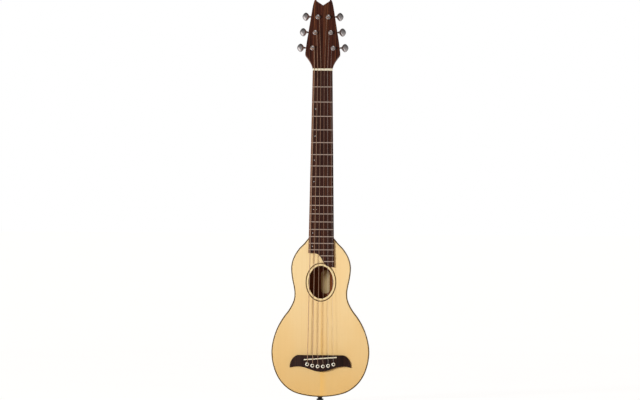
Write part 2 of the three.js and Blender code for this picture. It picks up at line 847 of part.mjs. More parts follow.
function bridgeOutline() {
  const treble = bridgeShares.map(([halfShare, alongShare]) => (
    new THREE.Vector2(halfShare * bridgeWidth / 2, -bridgeTop - alongShare * bridgeLength)
  ));
  const bass = treble.slice(0, -1).map(({ x, y }) => new THREE.Vector2(-x, y)).reverse();
  return [...treble, ...bass];
}

// The room above a wing's scooped surface
function wingRoom(side) {
  const section = wingShares.map(([halfShare, heightShare]) => (
    [side * halfShare * bridgeWidth / 2, -fitGap - heightShare * bridgeThickness]
  ));
  section.push([section.at(-1)[0], -fitGap - overrun], [section[0][0], -fitGap - overrun]);
  const low = -bridgeTop - bridgeLength - overrun;
  const ends = [low, low + bridgeLength + 2 * overrun];
  return loft(ends.map((z) => section.map(([x, y]) => new THREE.Vector3(x, y, z))));
}

// The saddle's footprint, which leans with the compensation
function saddleOutline(clearance) {
  const half = saddleLength / 2 + clearance;
  const thick = saddleThickness / 2 + clearance;
  return [
    new THREE.Vector2(-half, saddleZ(-half) - thick),
    new THREE.Vector2(half, saddleZ(half) - thick),
    new THREE.Vector2(half, saddleZ(half) + thick),
    new THREE.Vector2(-half, saddleZ(-half) + thick),
  ];
}

const saddleFoot = fitGap + bridgeThickness - saddleSlotDepth;

function bridge() {
  const slot = slab(saddleOutline(fitGap), -bridgeFront - overrun, -saddleFoot + fitGap);
  let wood = slab(bridgeOutline(), -bridgeFront, -fitGap)
    .subtract(wingRoom(1))
    .subtract(wingRoom(-1))
    .subtract(slot);
  for (const room of stringRooms) wood = wood.subtract(room);
  return pinHoles(wood);
}

function saddle() {
  const crowned = crownedBar(saddleLength, saddleHeight, saddleFoot, -bodyEnd, -bodyStart);
  return slab(saddleOutline(0), -saddleHeight - overrun, -saddleFoot).intersect(crowned);
}

function bridgePin(index) {
  const seat = -bridgeFront - fitGap;
  const profile = [
    [0, seat + pinLength],
    [pinTipRadius, seat + pinLength],
    [pinRadius, seat],
    [pinHeadRadius, seat],
    [pinHeadRadius, seat - pinHeadHeight / 2],
    [pinHeadRadius * Math.SQRT1_2, seat - pinHeadHeight * (1 + Math.SQRT1_2) / 2],
    [0, seat - pinHeadHeight],
  ];
  return moved(turned(profile.reverse(), pinSides), pinX(index), 0, pinZ(index)).subtract(stringRooms[index]);
}

function endPin() {
  const levels = [
    [0, endPinShank],
    [endPinRadius, endPinShank],
    [endPinRadius, -fitGap],
    [endPinCollarRadius, -fitGap],
    [endPinCollarRadius, -fitGap - endPinCollar],
    [endPinWaistRadius, -fitGap - endPinCollar],
    [endPinWaistRadius, -fitGap - endPinCollar - endPinWaist / 2],
    [endPinFlangeRadius, -fitGap - endPinCollar - endPinWaist],
    [endPinFlangeRadius, -fitGap - endPinCollar - endPinWaist - endPinFlange],
    [endPinFlangeRadius / 2, -fitGap - endPinCollar - endPinWaist - endPinFlange - endPinDome],
    [0, -fitGap - endPinCollar - endPinWaist - endPinFlange - endPinDome],
  ];
  const peg = turned(levels.reverse(), endPinSides).rotate([90, 0, 0]);
  return moved(peg, 0, bodyDepth / 2, -bodyEnd);
}

// Tuning machines, each in the headstock's frame with its post on the Y axis

const sideBoss = (side, radius, from, to, sides) => {
  const bar = side > 0 ? barAlongX(radius, from, to, sides) : barAlongX(radius, -to, -from, sides);
  return moved(bar, 0, gearPlane, shaftDistance);
};

const wormCrest = wormPitchRadius + threadCrestHeightShare * axialPitch;
const wormHalfLength = (wormTurns + 1) * axialPitch / 2;

function roundedPlate(halfWidth, low, high, corner) {
  const shape = new THREE.Shape();
  shape.absarc(halfWidth - corner, high - corner, corner, 0, Math.PI / 2);
  shape.absarc(-halfWidth + corner, high - corner, corner, Math.PI / 2, Math.PI);
  shape.absarc(-halfWidth + corner, low + corner, corner, Math.PI, 1.5 * Math.PI);
  shape.absarc(halfWidth - corner, low + corner, corner, 1.5 * Math.PI, 2 * Math.PI);
  return shape.getPoints(cornerSteps);
}

function tunerHousing(side) {
  const top = shaftDistance + housingAboveShaft;
  const plate = slab(
    roundedPlate(housingWidth / 2, -housingBelowPost, top, housingCorner),
    housingFront,
    housingFront + housingDepth,
  );
  const sleeve = barAlongY(sleeveRadius, housingFront - sleeveLength, housingFront + fitGap, postSides);
  const boss = sideBoss(side, bossRadius, housingWidth / 2 - fitGap, housingWidth / 2 + bossLength, pinSides);
  const gearRadius = gearPitchRadius + crestShare * axialPitch + fitGap;
  const gearHalf = gearThickness / 2 + fitGap;
  const gearRoom = barAlongY(gearRadius, gearPlane - gearHalf, gearPlane + gearHalf, postSides);
  const wormReach = wormHalfLength + fitGap;
  const wormRoom = sideBoss(1, wormCrest + fitGap, -wormReach, wormReach, wormSteps);
  const shaftRoom = sideBoss(side, shaftRadius + fitGap, 0, housingWidth / 2 + overrun, pinSides);
  const postRoom = barAlongY(postBore, -overrun, gearPlane, postSides);
  return plate
    .add(sleeve)
    .add(boss)
    .subtract(gearRoom)
    .subtract(wormRoom)
    .subtract(shaftRoom)
    .subtract(postRoom);
}

function tunerBushing() {
  const back = -veneerFront - fitGap;
  const flange = barAlongY(bushingFlangeRadius, back - bushingFlange, back, postSides);
  const pipe = barAlongY(sleeveRadius, back - bushingFlange / 2, back + bushingLength, postSides);
  return flange.add(pipe).subtract(barAlongY(postBore, -overrun, overrun, postSides));
}

// The gear has a gap between teeth where it faces the worm
function gearRings() {
  const crest = gearPitchRadius + crestShare * axialPitch;
  const root = gearPitchRadius - rootShare * axialPitch;
  const halfRoot = toothRootShare * axialPitch / (2 * root);
  const halfCrest = toothCrestShare * axialPitch / (2 * crest);
  const leadSlope = axialPitch / (2 * Math.PI * wormPitchRadius);
  return [-gearThickness / 2, gearThickness / 2].map((level) => {
    const twist = -level * leadSlope / gearPitchRadius;
    const ring = [];
    for (let tooth = 0; tooth < gearTeeth; tooth += 1) {
      const middle = (tooth + 0.5) * 2 * Math.PI / gearTeeth;
      const corners = [[root, -halfRoot], [crest, -halfCrest], [crest, halfCrest], [root, halfRoot]];
      for (const [radius, angle] of corners) {
        const turn = middle + angle + twist;
        ring.push(new THREE.Vector3(radius * Math.sin(turn), gearPlane + level, radius * Math.cos(turn)));
      }
    }
    return ring;
  });
}

function tunerPost() {
  const top = -veneerFront - postHeight;
  const stem = barAlongY(postRadius, top, gearPlane, postSides);
  const hole = barAlongZ(postHoleRadius, -overrun, overrun, pinSides);
  return stem
    .subtract(moved(hole, 0, -veneerFront - postHoleHeight, 0))
    .add(gear());
}

// Teeth round a disc, closed by fans from the disc's middle so that the crests stay clear
function gear() {
  const [front, back] = gearRings();
  const size = front.length;
  const middleFront = new THREE.Vector3(0, gearPlane - gearThickness / 2, 0);
  const middleBack = new THREE.Vector3(0, gearPlane + gearThickness / 2, 0);
  const positions = [...front, ...back, middleFront, middleBack].flatMap((point) => point.toArray());
  const triangles = [];
  for (let place = 0; place < size; place += 1) {
    const beside = (place + 1) % size;
    triangles.push(place, beside, place + size, beside, beside + size, place + size);
    triangles.push(2 * size, beside, place, 2 * size + 1, place + size, beside + size);
  }
  return skinned(positions, triangles);
}

// A left-handed thread, centred where it faces the gear
function wormThread() {
  const core = wormPitchRadius - wormCoreShare * axialPitch;
  const foot = core - fitGap / 2;
  const rings = [];
  for (let step = 0; step <= wormTurns * wormSteps; step += 1) {
    const turn = step / wormSteps - wormTurns / 2;
    const angle = -turn * 2 * Math.PI - Math.PI / 2;
    const half = [threadRootShare * axialPitch / 2, threadCrestShare * axialPitch / 2];
    const corners = [[foot, -half[0]], [wormCrest, -half[1]], [wormCrest, half[1]], [foot, half[0]]];
    rings.push(corners.map(([radius, along]) => new THREE.Vector3(
      turn * axialPitch + along, radius * Math.cos(angle), radius * Math.sin(angle),
    )));
  }
  return loft(rings).add(barAlongX(core, -wormHalfLength, wormHalfLength, wormSteps));
}

function tunerButton(side) {
  const thread = moved(wormThread(), 0, gearPlane, shaftDistance);
  const shaft = sideBoss(side, shaftRadius, wormHalfLength - fitGap, buttonReach, wormSteps);
  const ball = new THREE.SphereGeometry(1, buttonSegments, buttonRings);
  const place = ball.attributes.position;
  const soft = (value) => Math.sign(value) * Math.abs(value) ** buttonSoftness;
  for (let corner = 0; corner < place.count; corner += 1) {
    place.setXYZ(
      corner,
      side * buttonReach + soft(place.getX(corner)) * buttonWidth / 2,
      gearPlane + place.getY(corner) * buttonThickness / 2,
      shaftDistance + soft(place.getZ(corner)) * buttonHeight / 2,
    );
  }
  return thread.add(shaft).add(solidOf(ball));
}

// Finishes

const finish = (color, roughness, metalness) => () => (
  new THREE.MeshStandardMaterial({ color, roughness, metalness })
);
const spruce = finish('#eccf93', 0.45, 0);
const mahogany = finish('#6e3a22', 0.5, 0);
const rosewood = finish('#3a1f19', 0.5, 0);
const darkStrip = finish('#6b5a35', 0.5, 0);
const bone = finish('#f3ead6', 0.4, 0);
const blackPlastic = finish('#17181c', 0.35, 0);
const chrome = finish('#c9cbd0', 0.2, 1);
const steel = finish('#a9abae', 0.35, 1);
const bronze = finish('#b98a56', 0.35, 1);
const spruceBrace = finish('#dcb982', 0.7, 0);

function node(name, solid, material, x = 0, z = 0) {
  const mesh = new THREE.Mesh(geometryOf(solid), material());
  mesh.name = name;
  mesh.position.set(x, 0, z);
  return mesh;
}

// The whole instrument

const guitar = new THREE.Group();
guitar.add(
  node('soundboard', soundboard(), spruce),
  node('back_plate', backPlate(), mahogany),
  node('bass_side', bodySide(-1), mahogany),
  node('treble_side', bodySide(1), mahogany),
  node('top_binding', topBinding(), darkStrip),
  node('back_binding', backBinding(), darkStrip),
  node('top_lining', topLining(), spruceBrace),
  node('back_lining', backLining(), spruceBrace),
  node('neck_block', neckBlock(), mahogany),
  node('tail_block', tailBlock(), mahogany),
  node('x_brace', xBrace(), spruceBrace),
  node('bridge_plate', bridgePlate(), rosewood),
  node('rosette', rosette(), darkStrip),
  node('neck', neck(), mahogany),
  node('fretboard', fretboard(), rosewood),
  node('truss_rod', trussRod(), steel),
  node('truss_rod_nut', trussRodNut(), steel),
  node('nut', nut(), bone),
  node('bridge', bridge(), rosewood),
  node('saddle', saddle(), bone),
  node('end_pin', endPin(), blackPlastic),
);
backBracePlaces.forEach((place, index) => {
  guitar.add(node(`back_brace_${index + 1}`, backBrace(place), spruceBrace));
});

const headstock = new THREE.Group();
headstock.applyMatrix4(headFrame);
headstock.add(node('headstock_veneer', headstockVeneer(), rosewood));
guitar.add(headstock);

for (let index = 0; index < stringCount; index += 1) {
  const number = stringCount - index;
  const side = sideOf(index);
  guitar.add(
    node(`bridge_pin_${number}`, bridgePin(index), bone),
    node(`string_${number}`, stringSolid(index), index < woundStrings ? bronze : steel),
  );
  headstock.add(
    node(`tuner_housing_${number}`, tunerHousing(side), chrome, postX(index), postZ(index)),
    node(`tuner_bushing_${number}`, tunerBushing(), chrome, postX(index), postZ(index)),
    node(`tuner_post_${number}`, tunerPost(), chrome, postX(index), postZ(index)),
    node(`tuner_button_${number}`, tunerButton(side), chrome, postX(index), postZ(index)),
  );
  console.log(`string_${number} winding: least gap to itself ${leastGap(index).toFixed(2)} mm`);
}

export default guitar;
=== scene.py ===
"""Travel guitar: the finish of every surface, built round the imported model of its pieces."""
import json
import math

import bmesh
import bpy
from bpy.props import FloatProperty, FloatVectorProperty, IntProperty, PointerProperty
from mathutils import Matrix, Vector
from mathutils.geometry import tessellate_polygon


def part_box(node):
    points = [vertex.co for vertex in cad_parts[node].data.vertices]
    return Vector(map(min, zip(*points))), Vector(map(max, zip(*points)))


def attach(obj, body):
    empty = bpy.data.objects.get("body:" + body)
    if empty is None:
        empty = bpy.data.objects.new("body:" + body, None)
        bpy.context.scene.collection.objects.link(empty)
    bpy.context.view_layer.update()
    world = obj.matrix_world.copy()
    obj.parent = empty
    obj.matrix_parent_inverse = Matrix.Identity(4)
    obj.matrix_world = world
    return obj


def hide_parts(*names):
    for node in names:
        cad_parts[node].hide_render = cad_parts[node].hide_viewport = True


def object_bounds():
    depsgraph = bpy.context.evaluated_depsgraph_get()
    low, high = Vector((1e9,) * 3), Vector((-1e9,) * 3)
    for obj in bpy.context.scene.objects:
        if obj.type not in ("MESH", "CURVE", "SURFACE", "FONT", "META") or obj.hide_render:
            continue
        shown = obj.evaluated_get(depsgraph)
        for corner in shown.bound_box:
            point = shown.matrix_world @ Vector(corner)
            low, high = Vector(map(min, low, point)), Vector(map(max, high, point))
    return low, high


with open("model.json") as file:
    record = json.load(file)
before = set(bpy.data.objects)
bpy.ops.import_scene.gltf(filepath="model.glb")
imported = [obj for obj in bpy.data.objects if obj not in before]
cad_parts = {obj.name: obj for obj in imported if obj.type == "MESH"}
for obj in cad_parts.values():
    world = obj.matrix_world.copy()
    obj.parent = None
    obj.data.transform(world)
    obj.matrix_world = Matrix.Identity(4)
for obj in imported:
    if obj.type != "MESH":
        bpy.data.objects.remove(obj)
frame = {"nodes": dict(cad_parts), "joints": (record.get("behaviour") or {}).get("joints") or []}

bl_info = {
    "name": "Travel guitar looks",
    "version": (1, 0, 0),
    "blender": (4, 5, 0),
    "location": "View3D > Sidebar > Guitar",
    "description": "Builds the visible pieces, finishes and stage of a six-string travel guitar",
    "category": "Object",
}

CAD_LOW, CAD_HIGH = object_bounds()
NUT_LOW, NUT_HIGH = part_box("nut")
BOARD_LOW, BOARD_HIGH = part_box("fretboard")
BODY_LOW, BODY_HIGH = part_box("back_binding")
SADDLE_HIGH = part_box("saddle")[1]
HALF_AT_NUT = NUT_HIGH.x
TAPER = (BOARD_HIGH.x - NUT_HIGH.x) / -BOARD_LOW.z
JOINTS = {joint["name"]: joint for joint in frame["joints"]}
MAIN = "body"
FRONT = Vector((0, -1, 0))
BACK = Vector((0, 1, 0))
MM = 0.001

# The gap that stands for the glue line between two wooden pieces, and any other distance as small
FIT = 0.0003

# Points closer than this are one point, and faces no deeper than the second distance lie in one plane
WELD = 0.000001
FLAT_DEPTH = 0.00001

# Faces that meet at more than this keep a sharp edge, and an outline that turns by more keeps its corner
SHARP_ANGLE = math.radians(35)
CORNER_ANGLE = math.radians(32)

# Steps of a rounded edge, of the curve between two points of an outline, and of a round corner
EDGE_STEPS = 3
CURVE_STEPS = 5
CORNER_STEPS = 8

# An outline's side that is this many times as long as its neighbour is a straight one
LONG_SIDE = 3

# The least cosine of half a corner's turn that an inset still follows
MITRE_LIMIT = 0.3

# A narrow flat border that keeps the shading of a rounded edge off the face beside it
BORDER = 0.0001

# Strings, counted from the bass side
STRING_DIAMETERS = (0.00135, 0.00107, 0.00081, 0.00061, 0.00041, 0.0003)
STRING_COUNT = len(STRING_DIAMETERS)
WOUND_COUNT = 4
NUT_SPACING = 0.00694
SADDLE_SPACING = 0.01094
PIN_SPACING = 0.0112
SCALE_LENGTH = 0.6096
BASS_COMPENSATION = 0.0056
TREBLE_COMPENSATION = 0.0014
PIN_ROW_SETBACK = 0.0203
PIN_ROW_RADIUS = 0.087
RAMP_REACH = 0.0044
BALL_REACH = 0.0054
BALL_RADIUS = 0.0019
BALL_LENGTH = 0.003
STRING_SIDES = 10
WINDING_TURNS = (2.25, 2.25, 2.25, 3.25, 3.25, 3.25)
WINDING_STEPS = 32
WINDING_GAP = 0.00055
WINDING_FIT = 0.00004
TAIL_LENGTH = 0.0024
TAIL_SHARES = (0.35, 1.0, 1.9)
SADDLE_FALL = 0.00002

# A face of the back plate whose normal leans to the front by more than this cosine lies inside the body
INNER_FACING = 0.9

# Label on the inside of the back, its corner in millimetres
LABEL_CORNER = 8.5
LABEL_THICKNESS = 0.0002

# Rosette
ROSETTE_PROUD = 0.00006
ROSETTE_EDGE = 0.0001

# Fretboard
BOARD_RADIUS = 0.35
BOARD_FRONT = 0.0063
BOARD_EDGE = 0.0005
BASS_END = 0.3885
END_CURVE_PLACE = 0.0025
END_CURVE_SOFTNESS = 0.0041
END_STEPS = 40
FRET_INSET = 0.0004
FRET_STEPS = 14
FRET_SIDES = 12
FRET_ROUNDNESS = 0.8
FRET_END_SHARE = 0.012
OCTAVE = 12
DOT_SPACES = (3, 5, 7, 9, 12, 15, 17)
DOUBLE_DOT_SPACE = 12
# A dot's turned section, as shares of its radius
DOT_SHARES = ((0.2, -0.075), (0.9, -0.0625), (1.0, 0.0), (1.0, 0.5), (0.2, 0.5))
# The rule of the frets: each row names a value and gives its sum, of earlier values, inputs and numbers.
# Twelve frets halve the string by equal ratios, and the swept end cuts the bass part off the last few.
FRET_RULE = (
    ("Number", "ADD", "Index", 1.0),
    ("Octaves", "DIVIDE", "Number", -float(OCTAVE)),
    ("Ratio", "POWER", 2.0, "Octaves"),
    ("Stopped", "SUBTRACT", 1.0, "Ratio"),
    ("Distance", "MULTIPLY", "Scale Length", "Stopped"),
    ("Width", "MULTIPLY_ADD", "Distance", "Taper", "Half At Nut"),
    ("Half", "SUBTRACT", "Width", "Fret Inset"),
    ("Reach", "ADD", "Distance", "Fret Width"),
    ("Past", "SUBTRACT", "Reach", "Bass End"),
    ("Swept Part", "DIVIDE", "Past", "Sweep"),
    ("At Least", "MAXIMUM", "Swept Part", 0.0001),
    ("Share", "MINIMUM", "At Least", 0.9999),
    ("Whole", "DIVIDE", 1.0, "Share"),
    ("Odds", "SUBTRACT", "Whole", 1.0),
    ("Logarithm", "LOGARITHM", "Odds", math.e),
    ("Curve", "MULTIPLY", "Logarithm", "Curve Softness"),
    ("Swept", "SUBTRACT", "Curve Place", "Curve"),
    ("Bass Edge", "MULTIPLY", "Half", -1.0),
    ("Start", "MAXIMUM", "Swept", "Bass Edge"),
    ("Both Ends", "ADD", "Start", "Half"),
    ("Middle", "MULTIPLY", "Both Ends", 0.5),
    ("Length", "SUBTRACT", "Half", "Start"),
    ("Level", "MULTIPLY", "Board Front", -1.0),
    ("Down", "MULTIPLY", "Distance", -1.0),
    ("Square", "MULTIPLY", "Aside", "Aside"),
    ("Across", "MULTIPLY", "Board Radius", 2.0),
    ("Drop", "DIVIDE", "Square", "Across"),
)

# Neck and heel
NECK_DEPTH_AT_NUT = 0.015
NECK_DEPTH_AT_TWELFTH = 0.0175
HEEL_DEPTH = 0.046
HEEL_CAP = 0.016
HEEL_CURVE = 0.034
HEEL_NARROWING = 0.75
BODY_START = 0.357
HEAD_THICKNESS = 0.013
HEEL_LAST_STEP = 0.0006
TENON_WIDTH = 0.02
TENON_LENGTH = 0.025
TENON_FRONT = 0.0031
TENON_DEPTH = 0.04
TENON_OVERLAP = 0.001
VOLUTE_LENGTH = 0.021
VOLUTE_SWELL = 0.0016
VOLUTE_SINK = 0.002
VOLUTE_INSET = 0.0004
VOLUTE_STEPS = 6
VENEER_EDGE = 0.0004
RING_STEPS = 32
STATION_STEPS = 24

# Nut, bridge, saddle and pins
NUT_TOP = 0.0081
NUT_STEPS = 170
NUT_FALL_SHARE = 0.22
NUT_EDGE = 0.0005
GROOVE_DEPTH = 0.00035
GROOVE_ROOM = 0.00008
SADDLE_TOP = 0.0118
SADDLE_THICKNESS = 0.0025
SADDLE_STEPS = 48
SADDLE_TURNS = 8
SADDLE_STRAIGHT_SHARE = 0.97
SADDLE_SLIMMING_SHARE = 0.5
BRIDGE_FRONT = 0.0088
BRIDGE_WIDTH = 0.1306
WING_SHARES = ((0.62, 1.0), (0.66, 0.95), (0.72, 0.8), (0.78, 0.62), (0.83, 0.51), (0.89, 0.45), (1.1, 0.42))
WING_STEPS = 40
PIN_RADIUS = 0.0025

# A pin's turned section, with sizes in millimetres and tables as shares of its head's radius
PIN_LIFT = 0.05
PIN_HEAD_RADIUS = 4.0
PIN_SHANK_SHARES = ((0.025, 4.375), (0.525, 4.35), (0.625, 0.0), (0.875, 0.0), (0.975, -0.0625))
PIN_RIM_SHARE = 0.225
PIN_DOME_SHARE = 0.575
PIN_DOME_STEPS = 10
PIN_TIP_SHARES = (0.025, -0.8)
PIN_DOT_SHARES = ((0.55, -0.575), (0.55, -0.7125), (0.45, -0.7875), (0.025, -0.825))

# The strap pin's turned section, from inside the tail to its end, as shares of a size in millimetres
END_PIN_SIZE = 10.0
END_PIN_SIDES = 48
END_PIN_SHARES = (
    (0.01, 1.8), (0.42, 1.8), (0.42, 0.0), (0.54, 0.0), (0.56, -0.03), (0.56, -0.13), (0.53, -0.16),
    (0.45, -0.19), (0.43, -0.27), (0.48, -0.36), (0.66, -0.43), (0.75, -0.46), (0.77, -0.52), (0.77, -0.63),
    (0.73, -0.71), (0.58, -0.81), (0.36, -0.91), (0.16, -0.95), (0.01, -0.955),
)

# Tuning machines, in millimetres from each post's own place on the headstock. A turned section is a table of
# radii and levels, as shares of the size that stands before it.
ROOM_PLAY = 0.3
CUT_OVERLAP = 0.1
POST_RADIUS = 3.0
POST_TIP_SHARES = ((1.0, 0.2333), (0.9333, 0.0833), (0.8, 0.0), (0.5, 0.0), (0.4333, 0.3), (0.0333, 0.4))
POST_TOP = -13.1
POST_HOLE_LEVEL = -10.6
POST_HOLE_RADIUS = 0.9
POST_HOLE_SIDES = 20
BUSH_RADIUS = 5.0
BUSH_SHARES = (
    (0.66, 1.0), (0.8, 1.0), (0.8, -0.42), (1.0, -0.42), (1.0, -0.6), (0.96, -0.7), (0.86, -0.75),
    (0.72, -0.76), (0.67, -0.72),
)
GEAR_PLANE = 18.8
GEAR_FRONT = 17.3
GEAR_THICKNESS = 3.0
GEAR_ROOM_RADIUS = 5.05
SHAFT_RADIUS = 1.5
SHAFT_RISE = 6.4335
SHAFT_ROOM_REACH = 12.0
WORM_REACH = 3.325
WORM_OVERLAP = 0.05
WORM_ROOM_RADIUS = 3.06
HOUSING_HALF = 7.0
HOUSING_FRONT = 13.3
HOUSING_BACK = 24.3
HOUSING_BELOW = 6.5
HOUSING_ABOVE = 10.9335
HOUSING_CORNER = 3.0
HOUSING_EDGE = 1.3
SLEEVE_RADIUS = 4.0
SLEEVE_FRONT = 6.0
SLEEVE_OVERLAP = 0.4
BOSS_RADIUS = 3.2
BOSS_SHARES = ((1.0, 1.875), (1.0, 2.75), (0.9375, 2.84375), (0.75, 2.875))
LUG_HALF = 3.2
LUG_FLAT = 0.2
LUG_REACH = 4.6
LUG_BACK = 14.7
LUG_EDGE = 0.4
SCREW_BELOW = 8.4
SCREW_SIZE = 2.0
SCREW_SHANK_SHARES = ((0.05, 0.0), (0.45, 0.0))
SCREW_HEAD_SHARES = ((0.45, 0.0), (1.05, 0.0), (1.05, 0.2), (0.8, 0.45), (0.4, 0.575), (0.05, 0.6))
SLOT_HALF_LENGTH = 2.6
SLOT_HALF_WIDTH = 0.3
SLOT_CORNER = 0.1
SLOT_FLOOR = 0.7
SLOT_TOP = 2.0
COLLAR_START = 15.5
COLLAR_LENGTH = 2.5
COLLAR_SHARES = ((0.6, 0.0), (0.92, 0.44), (1.04, 1.0), (1.04, 2.2))
BUTTON_REACH = 25.4
BUTTON_WIDTH = 14.9
BUTTON_HEIGHT = 18.4
BUTTON_THICKNESS = 8.8
BUTTON_SOFTNESS = 1.2
BUTTON_FLATNESS = 0.65
BUTTON_ROWS = 24
BUTTON_COLUMNS = 40
LATHE_SIDES = 32

# Width and length of each material's pattern, in millimetres
PATTERNS = {
    "growth rings": (1.4, 350.0),
    "spruce bands": (14.0, 800.0),
    "spruce clouds": (60.0, 90.0),
    "planed lines": (1.5, 200.0),
    "rosewood lines": (1.6, 110.0),
    "rosewood bands": (4.0, 300.0),
    "rosewood pores": (0.3, 5.0),
    "mahogany ribbons": (9.0, 160.0),
    "mahogany pores": (0.4, 6.0),
    "pearl clouds": (1.2, 1.2),
    "paper fibres": (0.8, 2.0),
    "floor clouds": (400.0, 400.0),
}

# Depth of each material's relief, in millimetres
RELIEFS = {
    "spruce": 0.03, "planed spruce": 0.05, "rosewood": 0.04, "mahogany": 0.02, "wrap": 0.03, "pearl": 0.002,
    "paper": 0.03, "floor": 0.1,
}

# Plain finishes: material, colour, its darkest share, width of its clouds and depth of its relief in
# millimetres, roughness, metallic and coat
PLAIN_FINISHES = {
    # Dyed fibre strip, lacquered with the top: flat brown with a soft shine
    "binding": ("dyed_binding", "binding", 0.8, 4.0, 0.01, 0.35, 0.0, 0.0),
    # Maple veneer inlaid round the hole and lacquered: pale and even
    "ring": ("maple_ring", "ring", 0.93, 3.0, 0.01, 0.35, 0.0, 0.3),
    # Bleached and polished cattle bone: cream, with a waxy shine
    "bone": ("polished_bone", "bone", 0.93, 2.0, 0.01, 0.3, 0.0, 0.0),
    # Injection moulded ABS: smooth and almost white
    "pin": ("moulded_abs", "pin", 0.97, 2.0, 0.004, 0.28, 0.0, 0.0),
    # Black plastic inlaid in the pins' heads
    "dot": ("black_inlay", "inlay", 0.8, 1.0, 0.01, 0.35, 0.0, 0.0),
    # Glossy black nylon, slightly blue in the light
    "peg": ("black_nylon", "peg", 0.7, 2.0, 0.01, 0.3, 0.0, 0.2),
    # Zinc die castings and turned brass under chrome plate: bright, with soft reflections
    "chrome": ("chrome_plate", "chrome", 0.97, 4.0, 0.002, 0.2, 1.0, 0.0),
    # Drawn and crowned nickel silver: warm grey metal with a satin polish
    "nickel": ("nickel_silver", "nickel", 0.9, 2.0, 0.005, 0.3, 1.0, 0.0),
    # Bright drawn music wire: pale steel
    "steel": ("music_wire", "steel", 0.95, 2.0, 0.004, 0.36, 1.0, 0.0),
}
ROUGHNESS_SPREAD_SHARE = 0.2

# Colours of small features that the panel doesn't offer
WARM_WOOD = "#e6b261"
# Painted highlight along the fretboard's bass edge
EDGE_HIGHLIGHT = "#7d5540"
ROSEWOOD_PORE = "#120807"
PLANED_SPRUCE = "#c9a672"
PLANED_SPRUCE_LINE = "#a67c4a"
PEARL_GREEN = "#d9e4dd"
PEARL_PINK = "#f1e2e6"
FLOOR_PAINT = "#ffffff"
FLOOR_CLOUD = "#f4f4f4"

# Where the top starts to darken towards the lower bout, where a warmer band runs below the bridge, and how
# wide that band is
LOWER_DARK_FROM = -0.4
WARM_FROM = -0.45
WARM_TO = -0.64
WARM_WIDTH = 0.02

# Painted highlight: the paler stripe along the fretboard's bass edge, where the crown catches the lamp, fades
# between these widths
EDGE_HIGHLIGHT_WIDTH = 0.0032
EDGE_HIGHLIGHT_FADE = 0.0048

# Distance between two turns of the wrap wire
WRAP_SPACING = 0.0006

# Camera
CAMERA_ASIDE = -0.0034
CAMERA_ROLL = math.radians(0.46)
PICTURE_WIDTH = 640
SENSOR_WIDTH = 36.0
CLIP_SHARE = 10

# Key light and the fill behind, as angles from straight ahead and behind, and the floor
FILL_ASIDE = math.radians(25)
FILL_RISE = math.radians(4)
FILL_ANGLE = math.radians(40)
KEY_ASIDE = math.radians(36)
KEY_RISE = math.radians(8)
KEY_ANGLE = math.radians(11)
FLOOR_HALF = 60.0
FLOOR_GLOW = 1.1
FLOOR_GLOW_SHARE = 0.85

# Cards that stand round the guitar for its shine, and how brightly they glow: each row gives two cosines of
# the angle to the lamp, or two shares of the rise, and the glow at each. The first and the last multiply.
CARD_RADIUS = 4.0
CARD_HEIGHT = 5.0
CARD_SIDES = 32
AROUND_GLOW = (-0.2, 0.9, 0.55, 1.0)
SPOT_GLOW = (0.8, 1.0, 0.0, 0.8)
BELOW_GLOW = (0.8, -0.8, 0.16, 1.1)


def linear(code):
    """Linear colour from an sRGB hex value."""
    shares = [int(code[start:start + 2], 16) / 255 for start in (1, 3, 5)]
    return tuple(((s + 0.055) / 1.055) ** 2.4 if s > 0.04045 else s / 12.92 for s in shares)


def colour(name, code, about):
    """A colour that the user can change in the panel."""
    return FloatVectorProperty(
        name=name, description=about, subtype="COLOR", size=3, min=0, max=1, default=linear(code),
    )


def length(name, millimetres, about):
    """A length that the user can change in the panel."""
    return FloatProperty(
        name=name, description=about, default=millimetres * MM, min=0, unit="LENGTH", precision=4,
    )


class GuitarSizes(bpy.types.PropertyGroup):
    """Sizes of the details that the looks add."""

    fret_height: length("Fret height", 1.0, "How far a fret's crown stands above the fretboard")
    fret_width: length("Fret width", 2.2, "Width of a fret's crown along the neck")
    fret_count: IntProperty(name="Frets", description="How many frets the board carries", default=19, min=1)
    dot_radius: length("Dot radius", 0.8, "Radius of a position dot")
    dot_inset: length("Dot inset", 8.5, "Distance of a dot's centre from the bass edge")
    dot_step: length("Second dot step", 7.0, "Distance between the two dots of the octave")
    plate_edge: length("Plate edge", 0.5, "Rounding of the edges of soundboard, back and binding")
    wood_edge: length("Wood edge", 1.0, "Rounding of the edges of bridge and headstock")
    hole_ring: length("Hole ring", 3.4, "Width of the pale ring between rosette and sound hole")
    # The label's size and place are those of the lit patch inside the hole, a painted pool of light
    label_width: length("Label width", 18.5, "Width of the blank paper label")
    label_height: length("Label height", 50.0, "Height of the blank paper label")
    label_aside: length("Label aside", 9.4, "Distance of the label's middle from the centre line")


